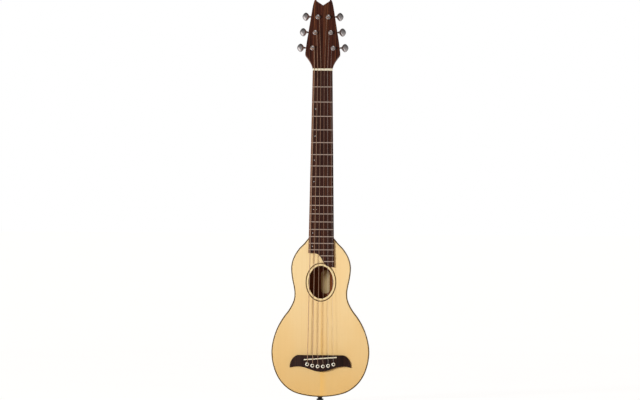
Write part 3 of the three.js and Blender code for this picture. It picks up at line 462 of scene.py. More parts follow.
class GuitarFinishes(bpy.types.PropertyGroup):
    """Colours of the woods, metals and plastics."""

    spruce: colour("Spruce", "#f2d09a", "Lacquered top, between the grain lines")
    spruce_cloud: colour("Spruce cloud", "#f2cc92", "Golden clouds of the top")
    spruce_grain: colour("Spruce grain", "#e0b26c", "Summer growth of the top")
    spruce_lower: colour("Lower bout spruce", "#d5a45a", "How dark the top is at the lower bout")
    rosewood: colour("Rosewood", "#34160f", "Fretboard, bridge and headstock face")
    rosewood_streak: colour("Rosewood streak", "#170705", "Dark lines in the rosewood")
    rosewood_red: colour("Rosewood red", "#56301c", "Red-brown bands in the rosewood")
    mahogany: colour("Mahogany", "#78381a", "Back, sides and neck")
    mahogany_pore: colour("Mahogany pore", "#41200f", "Open pores of the mahogany")
    mahogany_ribbon: colour("Mahogany ribbon", "#94552f", "Lighter ribbons of the mahogany")
    binding: colour("Binding", "#5c410c", "Edge strip and rosette")
    ring: colour("Ring", "#f3d59f", "Pale ring round the sound hole")
    bone: colour("Bone", "#ecdfc4", "Nut and saddle")
    pin: colour("Pin", "#f3e9d8", "Bridge pins")
    chrome: colour("Chrome", "#cfc6c4", "Tuning machines")
    nickel: colour("Nickel silver", "#d6beae", "Fret wire")
    bronze: colour("Bronze", "#e6c0a4", "Wrap wire of the bass strings")
    # Painted shade between the turns of the wrap wire
    bronze_groove_shade: colour("Bronze groove shade", "#b38a6e", "Between the turns of the wrap wire")
    steel: colour("Steel", "#eeddd0", "Plain strings and truss rod")
    peg: colour("Peg", "#15171e", "Strap end pin")
    inlay: colour("Inlay", "#0d0908", "Dots in the bridge pins")
    paper: colour("Paper", "#c8a878", "Label inside the body")


class GuitarStage(bpy.types.PropertyGroup):
    """Camera and light."""

    distance: length("Camera distance", 12000.0, "From the camera to the glue plane of the fretboard")
    pixel: length("Pixel", 2.131, "Real size of one picture pixel at the glue plane")
    centre: length("Picture centre", 275.4, "Distance of the picture's centre below the nut")
    key: FloatProperty(name="Key light", description="Irradiance of the lamp", default=3.27, min=0)
    key_colour: colour("Key colour", "#e5f3ff", "Daylight of the lamp")
    fill: FloatProperty(name="Fill light", description="Irradiance of the lamp behind", default=1.7, min=0)
    ambient: FloatProperty(name="Ambient", description="Radiance of the surroundings", default=0.3, min=0)
    ambient_colour: colour("Ambient colour", "#ffdc9a", "Warm light thrown back by the room")


def add(tree, kind, links=None, **settings):
    """Adds a node with its settings, and sets or links its inputs; a node stands for its first output."""
    node = tree.nodes.new(kind)
    for name, value in settings.items():
        setattr(node, name, value)
    for socket, value in (links or {}).items():
        if isinstance(value, bpy.types.Node):
            value = value.outputs[0]
        if isinstance(value, bpy.types.NodeSocket):
            tree.links.new(value, node.inputs[socket])
        else:
            node.inputs[socket].default_value = value
    return node


def opaque(rgb):
    """A colour with its alpha."""
    return (*rgb, 1)


# Meshes

def link(thing):
    """Puts an object into the scene."""
    bpy.context.scene.collection.objects.link(thing)
    return thing


def shaded(piece, material):
    """Gives a piece its finish, with smooth faces and sharp edges where it turns."""
    mesh = piece.data
    mesh.materials.clear()
    mesh.materials.append(material)
    mesh.shade_smooth()
    mesh.set_sharp_from_angle(angle=SHARP_ANGLE)
    return piece


def ended_build(build, name, material):
    """A piece from a bmesh that is done with."""
    mesh = bpy.data.meshes.new(name)
    build.to_mesh(mesh)
    build.free()
    return shaded(link(bpy.data.objects.new(name, mesh)), material)


def solid(name, vertices, faces, material):
    """A closed piece whose faces point outwards."""
    build = bmesh.new()
    made = [build.verts.new(vertex) for vertex in vertices]
    for face in faces:
        build.faces.new([made[corner] for corner in face])
    bmesh.ops.remove_doubles(build, verts=build.verts, dist=WELD)
    bmesh.ops.recalc_face_normals(build, faces=build.faces)
    return ended_build(build, name, material)


def ring_faces(count, size, start=0):
    """Faces between rings of equally many points."""
    faces = []
    for ring in range(count - 1):
        for place in range(size):
            here = start + ring * size + place
            beside = start + ring * size + (place + 1) % size
            faces.append((here, beside, beside + size, here + size))
    return faces


def loft(name, rings, material):
    """A closed skin over rings of equally many points."""
    size = len(rings[0])
    last = (len(rings) - 1) * size
    faces = ring_faces(len(rings), size)
    faces.append(tuple(range(size)))
    faces.append(tuple(last + place for place in range(size)))
    return solid(name, [point for ring in rings for point in ring], faces, material)


def scaled(shares, size, start=0):
    """A turned section from shares of its size, with its levels counted from a start."""
    return [(radius * size, start + level * size) for radius, level in shares]


def turned(profile, place, sides):
    """Rings of points about the local Y axis, from radii and levels in millimetres."""
    rings = []
    for radius, level in profile:
        ring = []
        for side in range(sides):
            angle = math.tau * side / sides
            local = Vector((radius * math.cos(angle), level, radius * math.sin(angle)))
            ring.append(place @ (local * MM))
        rings.append(ring)
    return rings


def lathe(name, profile, place, material, sides=LATHE_SIDES):
    """A round piece about the local Y axis, closed at both ends."""
    return loft(name, turned(profile, place, sides), material)


def turned_ring(name, profile, place, material):
    """A ring about the local Y axis, from a closed section."""
    rings = turned([*profile, profile[0]], place, LATHE_SIDES)
    points = [point for ring in rings for point in ring]
    return solid(name, points, ring_faces(len(rings), LATHE_SIDES), material)


def tube(name, points, radii, material, sides=STRING_SIDES):
    """A round wire along points, with its length in metres on the UV map."""
    rings, along = [], [0.0]
    across = Vector((1, 0, 0))
    for place, point in enumerate(points):
        before = points[max(place - 1, 0)]
        after = points[min(place + 1, len(points) - 1)]
        heading = ((point - before).normalized() + (after - point).normalized()).normalized()
        across = (across - heading * across.dot(heading)).normalized()
        up = heading.cross(across)
        radius = radii[place] if isinstance(radii, list) else radii
        turns = [math.tau * side / sides for side in range(sides)]
        rings.append([point + radius * (across * math.cos(turn) + up * math.sin(turn)) for turn in turns])
        if place:
            along.append(along[-1] + (point - before).length)
    piece = loft(name, rings, material)
    layer = piece.data.uv_layers.new(name="along")
    for corner in piece.data.loops:
        ring, side = divmod(corner.vertex_index, sides)
        layer.data[corner.index].uv = (side / sides, along[ring])
    return piece


def inset(loop, distance):
    """A closed outline with each edge moved inwards."""
    area = sum(a.x * b.y - b.x * a.y for a, b in zip(loop, loop[1:] + loop[:1]))
    inward = math.copysign(1, area)
    moved = []
    for place, point in enumerate(loop):
        first = (point - loop[place - 1]).normalized()
        second = (loop[(place + 1) % len(loop)] - point).normalized()
        first_normal = Vector((-first.y, first.x)) * inward
        second_normal = Vector((-second.y, second.x)) * inward
        middle = (first_normal + second_normal).normalized()
        moved.append(point + middle * distance / max(middle.dot(first_normal), MITRE_LIMIT))
    return moved


def plate(name, loops, front, back, edge, material, place=Matrix.Identity(4)):
    """A flat piece between two levels of local Y, with rounded edges; the first outline is the outer one."""
    turns = [math.pi / 2 * step / EDGE_STEPS for step in range(EDGE_STEPS + 1)]
    levels = [(edge * (1 - math.sin(turn)), front + edge * (1 - math.cos(turn))) for turn in turns]
    if edge:
        levels.insert(0, (edge + BORDER, front))
    levels += [(into, front + back - level) for into, level in reversed(levels)]
    vertices, faces, caps = [], [], ([], [])
    for order, loop in enumerate(loops):
        start = len(vertices)
        for into, level in levels:
            moved = inset(loop, into if order == 0 else -into)
            vertices += [Vector((point.x, level, point.y)) for point in moved]
        faces += ring_faces(len(levels), len(loop), start)
        last = start + (len(levels) - 1) * len(loop)
        caps[0].append(range(start, start + len(loop)))
        caps[1].append(range(last, last + len(loop)))
    for cap in caps:
        corners = [corner for ring in cap for corner in ring]
        flat = [[Vector((vertices[c].x, vertices[c].z, 0)) for c in ring] for ring in cap]
        faces += [tuple(corners[c] for c in triangle) for triangle in tessellate_polygon(flat)]
    return solid(name, [place @ vertex for vertex in vertices], faces, material)


def face_loops(node, towards, place=Matrix.Identity(4)):
    """Outlines of a CAD node's outermost flat face, the longest first, as local X and Z."""
    build = bmesh.new()
    build.from_mesh(frame["nodes"][node].data)
    bmesh.ops.remove_doubles(build, verts=build.verts, dist=WELD)
    reach = max(vertex.co.dot(towards) for vertex in build.verts)
    flat = {
        face.index for face in build.faces
        if all(reach - vertex.co.dot(towards) < FLAT_DEPTH for vertex in face.verts)
    }
    rim = {
        edge.index for edge in build.edges
        if sum(face.index in flat for face in edge.link_faces) == 1
    }
    back = place.inverted()
    build.edges.ensure_lookup_table()
    loops = []
    while rim:
        edge = build.edges[min(rim)]
        rim.remove(edge.index)
        start, here = edge.verts
        loop = [start]
        while here is not start:
            loop.append(here)
            following = next(other for other in here.link_edges if other.index in rim)
            rim.remove(following.index)
            here = following.other_vert(here)
        local = [back @ vertex.co for vertex in loop]
        loops.append([Vector((point.x, point.z)) for point in local])
    build.free()
    return sorted(loops, key=lambda loop: -sum((a - b).length for a, b in zip(loop, loop[1:] + loop[:1])))


def smoothed(loop):
    """A closed outline with a curve through its points; corners and long straight stretches are kept."""
    count = len(loop)
    sides = [loop[(place + 1) % count] - loop[place] for place in range(count)]
    tangents = []
    for place, (before, after) in enumerate(zip(sides[-1:] + sides[:-1], sides)):
        if before.angle(after) >= CORNER_ANGLE:
            tangents.append(None)
        elif max(before.length, after.length) > LONG_SIDE * min(before.length, after.length):
            tangents.append(max(before, after, key=lambda side: side.length).normalized())
        else:
            tangents.append((before.normalized() + after.normalized()).normalized())
    points = []
    for place, side in enumerate(sides):
        here, after, reach = loop[place], loop[(place + 1) % count], side.length
        leaving = tangents[place] or side.normalized()
        arriving = tangents[(place + 1) % count] or side.normalized()
        for step in range(CURVE_STEPS):
            t = step / CURVE_STEPS
            points.append(
                here * (2 * t ** 3 - 3 * t ** 2 + 1) + leaving * reach * (t ** 3 - 2 * t ** 2 + t)
                + after * (3 * t ** 2 - 2 * t ** 3) + arriving * reach * (t ** 3 - t ** 2)
            )
    return points


def plain(piece):
    """Turns what a piece's modifiers make into its plain mesh."""
    view = bpy.context.evaluated_depsgraph_get()
    mesh = bpy.data.meshes.new_from_object(piece.evaluated_get(view))
    piece.modifiers.clear()
    piece.data = mesh
    return mesh


def combined(piece, others, operation):
    """Adds other solids to a piece's skin by "UNION", or cuts them out by "DIFFERENCE", and deletes them."""
    for other in others:
        modifier = piece.modifiers.new("combine", "BOOLEAN")
        modifier.object = other
        modifier.operation = operation
        modifier.solver = "EXACT"
    material = piece.data.materials[0]
    mesh = plain(piece)
    mesh.polygons.foreach_set("material_index", [0] * len(mesh.polygons))
    for other in others:
        bpy.data.objects.remove(other)
    return shaded(piece, material)


def joined(name, parts):
    """One piece of several closed solids of the same finish."""
    build = bmesh.new()
    for part in parts:
        build.from_mesh(part.data)
    material = parts[0].data.materials[0]
    for part in parts:
        bpy.data.objects.remove(part)
    return ended_build(build, name, material)


def reshaped(piece, cuts, level):
    """Cuts a piece into strips at distances from the centre line, and gives each point a new level."""
    build = bmesh.new()
    build.from_mesh(piece.data)
    for x in cuts:
        everything = build.verts[:] + build.edges[:] + build.faces[:]
        bmesh.ops.bisect_plane(build, geom=everything, plane_co=(x, 0, 0), plane_no=(1, 0, 0))
    for vertex in build.verts:
        vertex.co.y = level(vertex.co)
    build.to_mesh(piece.data)
    build.free()
    piece.data.set_sharp_from_angle(angle=SHARP_ANGLE)


def cad_part(node, point, outward, material):
    """The part of a CAD node behind a plane, closed where the plane cuts it."""
    build = bmesh.new()
    build.from_mesh(frame["nodes"][node].data)
    bmesh.ops.remove_doubles(build, verts=build.verts, dist=WELD)
    everything = build.verts[:] + build.edges[:] + build.faces[:]
    bmesh.ops.bisect_plane(build, geom=everything, plane_co=point, plane_no=outward, clear_outer=True)
    bmesh.ops.holes_fill(build, edges=[edge for edge in build.edges if edge.is_boundary])
    return ended_build(build, "part", material)


def grown(name, tree, values):
    """A plain mesh from a Geometry Nodes tree, with its named inputs set."""
    piece = link(bpy.data.objects.new(name, bpy.data.meshes.new(name)))
    modifier = piece.modifiers.new(name, "NODES")
    modifier.node_group = tree
    for socket in tree.interface.items_tree:
        if socket.name in values:
            modifier[socket.identifier] = values[socket.name]
    mesh = plain(piece)
    mesh.shade_smooth()
    mesh.set_sharp_from_angle(angle=SHARP_ANGLE)
    return piece


def settle(piece, slot, *nodes, body=MAIN):
    """Ties a finished piece to its body and hides the CAD nodes that it stands for; the slot of its finish is
    not used.
    """
    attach(piece, body)
    if nodes:
        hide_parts(*nodes)
    return piece


# Finishes

def started(name):
    """A new material with its tree, its main shader and the piece's own coordinates."""
    material = bpy.data.materials.new(name)
    material.use_nodes = True
    tree = material.node_tree
    coordinates = add(tree, "ShaderNodeTexCoord").outputs["Object"]
    return material, tree, tree.nodes["Principled BSDF"], coordinates


def streaks(tree, vector, across, along, detail=2.0):
    """Noise drawn out along the grain, from the width and length of its streaks in millimetres."""
    width, reach = across * MM, along * MM
    size = (1 / width, 1 / width, 1 / reach)
    stretched = add(tree, "ShaderNodeVectorMath", {0: vector, 1: size}, operation="MULTIPLY")
    return add(
        tree, "ShaderNodeTexNoise", {"Vector": stretched, "Scale": 1.0, "Detail": detail, "Roughness": 0.55},
    ).outputs["Fac"]


def blended(tree, share, first, second, low=0.0, high=1.0):
    """One colour passing softly into another between two values of a share."""
    ranged = add(
        tree, "ShaderNodeMapRange", {"Value": share, "From Min": low, "From Max": high},
        interpolation_type="SMOOTHSTEP",
    )
    ends = [end if isinstance(end, bpy.types.NodeSocket) else opaque(end) for end in (first, second)]
    mixed = add(tree, "ShaderNodeMix", {"Factor": ranged, 6: ends[0], 7: ends[1]}, data_type="RGBA")
    return mixed.outputs[2]


def surfaced(made, paint, height, depth, **numbers):
    """Ends a finish: its colour, its relief's depth in millimetres, and the plain numbers of its shader."""
    material, tree, shader = made[:3]
    relief = add(tree, "ShaderNodeBump", {"Height": height, "Distance": depth * MM, "Strength": 1.0})
    tree.links.new(relief.outputs["Normal"], shader.inputs["Normal"])
    tree.links.new(paint, shader.inputs["Base Color"])
    sockets = {socket.name.replace(" ", "_").lower(): socket for socket in shader.inputs}
    for name, value in numbers.items():
        sockets[name].default_value = value
    return material


def spruce():
    """Sitka spruce, quarter sawn and bookmatched, under thin satin lacquer: fine lines and golden clouds."""
    finishes = bpy.context.scene.guitar_finishes
    made = started("lacquered_spruce")
    tree, coordinates = made[1], made[3]
    parts = add(tree, "ShaderNodeSeparateXYZ", {"Vector": coordinates})
    across = add(tree, "ShaderNodeMath", {0: parts.outputs["X"]}, operation="ABSOLUTE")
    matched = add(
        tree, "ShaderNodeCombineXYZ", {"X": across, "Y": parts.outputs["Y"], "Z": parts.outputs["Z"]},
    ).outputs[0]
    rings = streaks(tree, matched, *PATTERNS["growth rings"])
    bands = streaks(tree, matched, *PATTERNS["spruce bands"], detail=1.0)
    clouds = streaks(tree, coordinates, *PATTERNS["spruce clouds"], detail=1.0)
    clouded = blended(tree, clouds, finishes.spruce, finishes.spruce_cloud, 0.35, 0.7)
    grain = blended(tree, rings, clouded, finishes.spruce_grain, 0.45, 1.3)
    banded = blended(tree, bands, grain, finishes.spruce_grain, 0.5, 1.5)
    # The top is a little darker towards the lower bout
    lower = add(tree, "ShaderNodeMapRange", {
        "Value": parts.outputs["Z"], "From Min": LOWER_DARK_FROM, "From Max": BODY_LOW.z, "To Max": 0.7,
    })
    darker_tone = blended(tree, lower.outputs[0], banded, finishes.spruce_lower)
    # Below the bridge a warmer band of wood runs along the treble side of the seam
    warm = add(tree, "ShaderNodeMapRange", {
        "Value": parts.outputs["X"], "From Min": WARM_WIDTH, "From Max": 0.0,
    }, interpolation_type="SMOOTHSTEP")
    treble = add(tree, "ShaderNodeMath", {0: parts.outputs["X"], 1: 0.0}, operation="GREATER_THAN")
    below = add(tree, "ShaderNodeMapRange", {
        "Value": parts.outputs["Z"], "From Min": WARM_FROM, "From Max": WARM_TO,
        "To Min": 0.15, "To Max": 0.8,
    })
    side = add(tree, "ShaderNodeMath", {0: warm, 1: treble}, operation="MULTIPLY")
    band = add(tree, "ShaderNodeMath", {0: side, 1: below}, operation="MULTIPLY")
    final = blended(tree, band.outputs[0], darker_tone, linear(WARM_WOOD))
    return surfaced(
        made, final, rings, RELIEFS["spruce"], roughness=0.4, ior=1.45, coat_weight=0.2, coat_roughness=0.18,
    )


def rosewood(name, shade, ior, turn=0.0, edge_highlight=False):
    """Oiled rosewood, open pored: dark lines and red-brown bands along the grain, with a soft shine, and if
    asked a painted highlight along the bass edge.
    """
    finishes = bpy.context.scene.guitar_finishes
    # The pieces are cut from lighter and darker boards
    wood, red, dark = (
        [part * shade for part in board]
        for board in (finishes.rosewood, finishes.rosewood_red, finishes.rosewood_streak)
    )
    made = started(name)
    tree = made[1]
    # The grain is turned to follow a leaning piece
    grain = add(tree, "ShaderNodeMapping", {"Vector": made[3], "Rotation": (turn, 0, 0)}).outputs[0]
    lines = streaks(tree, grain, *PATTERNS["rosewood lines"])
    bands = streaks(tree, grain, *PATTERNS["rosewood bands"], detail=1.0)
    reddish = blended(tree, bands, wood, red, 0.44, 0.85)
    lined = blended(tree, lines, dark, reddish, 0.34, 0.58)
    if edge_highlight:
        # A paler stripe of sapwood follows the tapering bass edge
        parts = add(tree, "ShaderNodeSeparateXYZ", {"Vector": made[3]})
        terms = {0: parts.outputs["Z"], 1: -TAPER, 2: HALF_AT_NUT}
        edge = add(tree, "ShaderNodeMath", terms, operation="MULTIPLY_ADD")
        inwards = add(tree, "ShaderNodeMath", {0: parts.outputs["X"], 1: edge}, operation="ADD")
        stripe = add(tree, "ShaderNodeMapRange", {
            "Value": inwards, "From Min": EDGE_HIGHLIGHT_FADE, "From Max": EDGE_HIGHLIGHT_WIDTH, "To Max": 0.8,
        # A painted highlight follows the tapering bass edge: a paler stripe where the crowned board catches
        # the lamp
        }, interpolation_type="SMOOTHSTEP")
        lined = blended(tree, stripe.outputs[0], lined, linear(EDGE_HIGHLIGHT))
    pores = streaks(tree, grain, *PATTERNS["rosewood pores"])
    pored = blended(tree, pores, linear(ROSEWOOD_PORE), lined, 0.3, 0.42)
    return surfaced(made, pored, pores, RELIEFS["rosewood"], roughness=0.32, ior=ior)


def mahogany(name, **numbers):
    """Mahogany: even red-brown with short dark pores and slow ribbons of lighter wood."""
    finishes = bpy.context.scene.guitar_finishes
    made = started(name)
    tree, coordinates = made[1], made[3]
    ribbons = streaks(tree, coordinates, *PATTERNS["mahogany ribbons"], detail=1.0)
    pores = streaks(tree, coordinates, *PATTERNS["mahogany pores"])
    ribboned = blended(tree, ribbons, finishes.mahogany, finishes.mahogany_ribbon, 0.45, 0.75)
    pored = blended(tree, pores, finishes.mahogany_pore, ribboned, 0.28, 0.5)
    return surfaced(made, pored, pores, RELIEFS["mahogany"], **numbers)


def clean_spruce():
    """Planed spruce inside the body, without lacquer: pale, dry and rough."""
    made = started("planed_spruce")
    lines = streaks(made[1], made[3], *PATTERNS["planed lines"])
    wood = blended(made[1], lines, linear(PLANED_SPRUCE), linear(PLANED_SPRUCE_LINE), 0.4, 0.8)
    return surfaced(made, wood, lines, RELIEFS["planed spruce"], roughness=0.85, ior=1.45)


def mottled(name, colour_name, dark, grain, depth, roughness, metallic, coat):
    """A cast, turned or moulded surface: one colour with faint clouds and a fine relief."""
    rgb = getattr(bpy.context.scene.guitar_finishes, colour_name)
    made = started(name)
    tree = made[1]
    clouds = streaks(tree, made[3], grain, grain, detail=3.0)
    spread = roughness * ROUGHNESS_SPREAD_SHARE
    rough = add(tree, "ShaderNodeMapRange", {
        "Value": clouds, "From Min": 0.3, "From Max": 0.7,
        "To Min": roughness - spread, "To Max": roughness + spread,
    })
    tree.links.new(rough.outputs[0], made[2].inputs["Roughness"])
    paint = blended(tree, clouds, [part * dark for part in rgb], rgb, 0.3, 0.62)
    return surfaced(made, paint, clouds, depth, metallic=metallic, coat_weight=coat)


def wound_wire():
    """Bronze wrap wire on a steel core: close ridges with painted shade in the grooves between them, drawn at
    twice their real spacing so that they show.
    """
    finishes = bpy.context.scene.guitar_finishes
    made = started("wound_bronze")
    tree = made[1]
    along = add(tree, "ShaderNodeTexCoord").outputs["UV"]
    turns = (0.0, math.tau / WRAP_SPACING, 0.0)
    angle = add(tree, "ShaderNodeVectorMath", {0: along, 1: turns}, operation="MULTIPLY")
    phase = add(tree, "ShaderNodeSeparateXYZ", {"Vector": angle})
    ridge = add(tree, "ShaderNodeMath", {0: phase.outputs["Y"]}, operation="SINE").outputs[0]
    # Painted shade: the grooves between the turns are darker than the ridges
    wrap = blended(tree, ridge, finishes.bronze_groove_shade, finishes.bronze, -0.9, 0.5)
    return surfaced(made, wrap, ridge, RELIEFS["wrap"], metallic=1.0, roughness=0.35)


def pearl():
    """Mother of pearl: milky, with clouds that lean to pink and green."""
    made = started("mother_of_pearl")
    clouds = streaks(made[1], made[3], *PATTERNS["pearl clouds"], detail=3.0)
    milky = blended(made[1], clouds, linear(PEARL_GREEN), linear(PEARL_PINK), 0.35, 0.65)
    return surfaced(
        made, milky, clouds, RELIEFS["pearl"], roughness=0.18, ior=1.53, coat_weight=0.6, coat_roughness=0.05,
    )


def paper():
    """A blank laid paper label, yellowed to cream with age."""
    finishes = bpy.context.scene.guitar_finishes
    made = started("label_paper")
    fibres = streaks(made[1], made[3], *PATTERNS["paper fibres"], detail=4.0)
    darker_tone = [part * 0.86 for part in finishes.paper]
    laid = blended(made[1], fibres, darker_tone, finishes.paper, 0.35, 0.65)
    return surfaced(made, laid, fibres, RELIEFS["paper"], roughness=0.95, ior=1.4)


FINISHES = {}


def finish(name):
    """The finish of that name, made when it is first asked for."""
    makers = {
        "spruce": spruce,
        "planed spruce": clean_spruce,
        "fretboard": lambda: rosewood("fretboard_rosewood", 1.2, 1.25, edge_highlight=True),
        "veneer": lambda: rosewood("headstock_rosewood", 1.85, 1.25, turn=head_lean()),
        "rosewood": lambda: rosewood("bridge_rosewood", 0.6, 1.27),
        # Lacquered over filled pores, rubbed to satin for the hand, and left as planed inside
        "mahogany": lambda: mahogany(
            "lacquered_mahogany", roughness=0.3, ior=1.4, coat_weight=0.12, coat_roughness=0.12,
        ),
        "neck": lambda: mahogany("satin_mahogany", roughness=0.45, ior=1.45),
        "bare mahogany": lambda: mahogany("planed_mahogany", roughness=0.9, ior=1.3),
        "wound": wound_wire,
        "pearl": pearl,
        "paper": paper,
    }
    if name not in FINISHES:
        FINISHES[name] = makers[name]() if name in makers else mottled(*PLAIN_FINISHES[name])
    return FINISHES[name]


# Places that follow the CAD pieces

def number_of(index):
    """A string's usual number, from 6 for the lowest to 1 for the highest."""
    return STRING_COUNT - index


def from_centre(index):
    """A string's place counted from the centre line."""
    return index - (STRING_COUNT - 1) / 2


def tuner_frame(index):
    """Where a tuning machine sits: X to the treble side, Y out of the back, Z up the headstock."""
    joint = JOINTS[f"wind_{number_of(index)}"]
    across, back = Vector((1, 0, 0)), -Vector(joint["axis"])
    facing = Matrix((across, back, across.cross(back))).transposed().to_4x4()
    return Matrix.Translation(joint["pos_m"]) @ facing


def head_frame():
    """The headstock's own frame, with its origin behind the nut on the face of the bare wood."""
    place = tuner_frame(0)
    place.translation = (0, 0, NUT_HIGH.z)
    return place


def head_lean():
    """How far the headstock leans back."""
    up = head_frame().col[2]
    return math.atan2(up.y, up.z)


def crown_drop(x):
    """How far the fretboard's crowned surface has dropped at a distance from the centre line."""
    return BOARD_RADIUS - math.sqrt(BOARD_RADIUS ** 2 - x ** 2)


def half_width(distance):
    """Half the neck's width at a distance below the nut."""
    return HALF_AT_NUT + TAPER * distance


def board_end(x):
    """Where the fretboard's swept end lies below the nut."""
    sweep = -BOARD_LOW.z - BASS_END
    return BASS_END + sweep / (1 + math.exp(-(x - END_CURVE_PLACE) / END_CURVE_SOFTNESS))


def saddle_z(x):
    """The height of the leaning saddle."""
    half_spread = SADDLE_SPACING * (STRING_COUNT - 1) / 2
    middle = (BASS_COMPENSATION + TREBLE_COMPENSATION) / 2
    return -(SCALE_LENGTH + middle) + x / half_spread * (BASS_COMPENSATION - TREBLE_COMPENSATION) / 2


def pin_place(index):
    """Where a bridge pin's axis meets the soundboard."""
    x = from_centre(index) * PIN_SPACING
    return Vector((x, 0, -(SCALE_LENGTH + PIN_ROW_SETBACK) + x ** 2 / (2 * PIN_ROW_RADIUS)))


# Body

def refined_plate(node, name, finish_name, slot, front=None, back=None, edge=None, towards=FRONT):
    """A CAD plate with its facets smoothed to curves and its edges rounded."""
    low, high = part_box(node)
    loops = [smoothed(loop) for loop in face_loops(node, towards)]
    front = low.y if front is None else front
    back = high.y if back is None else back
    if edge is None:
        edge = bpy.context.scene.guitar_sizes.plate_edge
    return settle(plate(name, loops, front, back, edge, finish(finish_name)), slot, node)


def make_soundboard():
    """The spruce top, with the sound hole and the pin holes."""
    refined_plate("soundboard", "spruce_top", "spruce", "spruce_top", towards=BACK)


def make_rosette():
    """The dark oval ring, and the pale veneer ring between it and the hole."""
    sizes = bpy.context.scene.guitar_sizes
    low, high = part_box("rosette")
    front = low.y - ROSETTE_PROUD
    refined_plate("rosette", "rosette_ring", "binding", "rosette", front=front, edge=ROSETTE_EDGE)
    hole = smoothed(face_loops("soundboard", BACK)[1])
    loops = [inset(hole, -sizes.hole_ring), hole]
    ring = plate("hole_ring", loops, -ROSETTE_PROUD, high.y, sizes.plate_edge, finish("ring"))
    settle(ring, "rosette")


def make_shell():
    """Back, bent sides and the two bindings."""
    side_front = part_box("top_binding")[1].y
    side_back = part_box("back_binding")[0].y
    back = refined_plate("back_plate", "mahogany_back", "mahogany", "mahogany", towards=BACK)
    back.data.materials.append(finish("bare mahogany"))
    for face in back.data.polygons:
        face.material_index = int(face.normal.dot(FRONT) > INNER_FACING)
    refined_plate("top_binding", "top_edge_strip", "binding", "binding")
    refined_plate("back_binding", "back_edge_strip", "binding", "binding", towards=BACK)
    for side in ("bass_side", "treble_side"):
        refined_plate(side, f"bent_{side}", "mahogany", "mahogany", side_front, side_back, 0.0)


def make_inside():
    """The blank label beside the back's centre seam, cut to the patch that light through the hole falls on: a
    painted pool of light, with the bare wood beside it for shade. Also the finish of blocks, braces and
    linings.
    """
    sizes = bpy.context.scene.guitar_sizes
    hole_low, hole_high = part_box("rosette")
    # The paper covers the patch that light through the hole falls on, a painted pool of light
    middle = Vector((sizes.label_aside, (hole_low.z + hole_high.z) / 2))
    half, tall = sizes.label_width / 2 / MM, sizes.label_height / 2 / MM
    outline = [middle + point for point in rounded_outline(half, -tall, tall, LABEL_CORNER)]
    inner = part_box("back_plate")[0].y
    front = inner - LABEL_THICKNESS
    label = plate("paper_label", [outline], front, inner, LABEL_THICKNESS / 4, finish("paper"))
    settle(label, "bone")
    for node in ("top_lining", "back_lining", "x_brace", "back_brace_1", "back_brace_2"):
        dressed(node, "planed spruce")
    for node in ("neck_block", "tail_block"):
        dressed(node, "bare mahogany")
    dressed("bridge_plate", "rosewood")
    dressed("truss_rod", "steel")
    dressed("truss_rod_nut", "steel")


def dressed(node, finish_name):
    """Gives a CAD node that keeps its shape a better finish."""
    materials = frame["nodes"][node].data.materials
    materials.clear()
    materials.append(finish(finish_name))


# Neck

def neck_ring(half, front, back, z):
    """A D-shaped ring across the neck; deep rings narrow towards the heel's cap."""
    deep = (back - front - NECK_DEPTH_AT_TWELFTH) / (HEEL_DEPTH - NECK_DEPTH_AT_TWELFTH)
    power = 1 + HEEL_NARROWING * min(max(deep, 0), 1)
    ring = []
    for step in range(RING_STEPS + 1):
        angle = math.pi * step / RING_STEPS
        across = math.cos(angle)
        x = half * math.copysign(abs(across) ** power, across)
        ring.append(Vector((x, front + (back - front) * math.sin(angle) ** (1 / power), z)))
    return ring


def neck_depth(distance):
    """Depth of the neck behind the fretboard, swelling into the heel."""
    share = distance / (SCALE_LENGTH / 2)
    even = NECK_DEPTH_AT_NUT + (NECK_DEPTH_AT_TWELFTH - NECK_DEPTH_AT_NUT) * share
    into = (HEEL_CAP + HEEL_CURVE - (BODY_START - distance)) / HEEL_CURVE
    into = min(max(into, 0), 1)
    return even + (HEEL_DEPTH - even) * (1 - math.sqrt(1 - into ** 2))


def volute_rings(head):
    """The swell behind the nut, as rings from inside the headstock to where the shaft starts."""
    slope = head.col[2].y / head.col[2].z
    rings = []
    for step in range(VOLUTE_STEPS):
        share = step / VOLUTE_STEPS
        above = VOLUTE_LENGTH * (1 - share)
        plane = slope * above + HEAD_THICKNESS / head.col[2].z
        blend = share * share * (3 - 2 * share)
        swell = VOLUTE_SWELL * math.sin(math.pi * share)
        sink = VOLUTE_SINK * (1 - share)
        depth = plane * (1 - blend) + NECK_DEPTH_AT_NUT * blend + swell - sink
        rings.append(neck_ring(HALF_AT_NUT - VOLUTE_INSET, slope * above + FIT, depth, NUT_HIGH.z + above))
    return rings


def shaft_distances():
    """Where the shaft and the heel have a ring, below the nut."""
    start = BODY_START - HEEL_CAP - HEEL_CURVE
    shares = [step / STATION_STEPS for step in range(STATION_STEPS + 1)]
    distances = [start * share for share in shares[:-1]]
    distances += [start + HEEL_CURVE * math.sin(math.pi / 2 * share) for share in shares]
    return [*distances, BODY_START - HEEL_LAST_STEP, BODY_START]


def head_loops(head):
    """The headstock's outline."""
    return [smoothed(loop) for loop in face_loops("headstock_veneer", -head.col[1].xyz, head)]


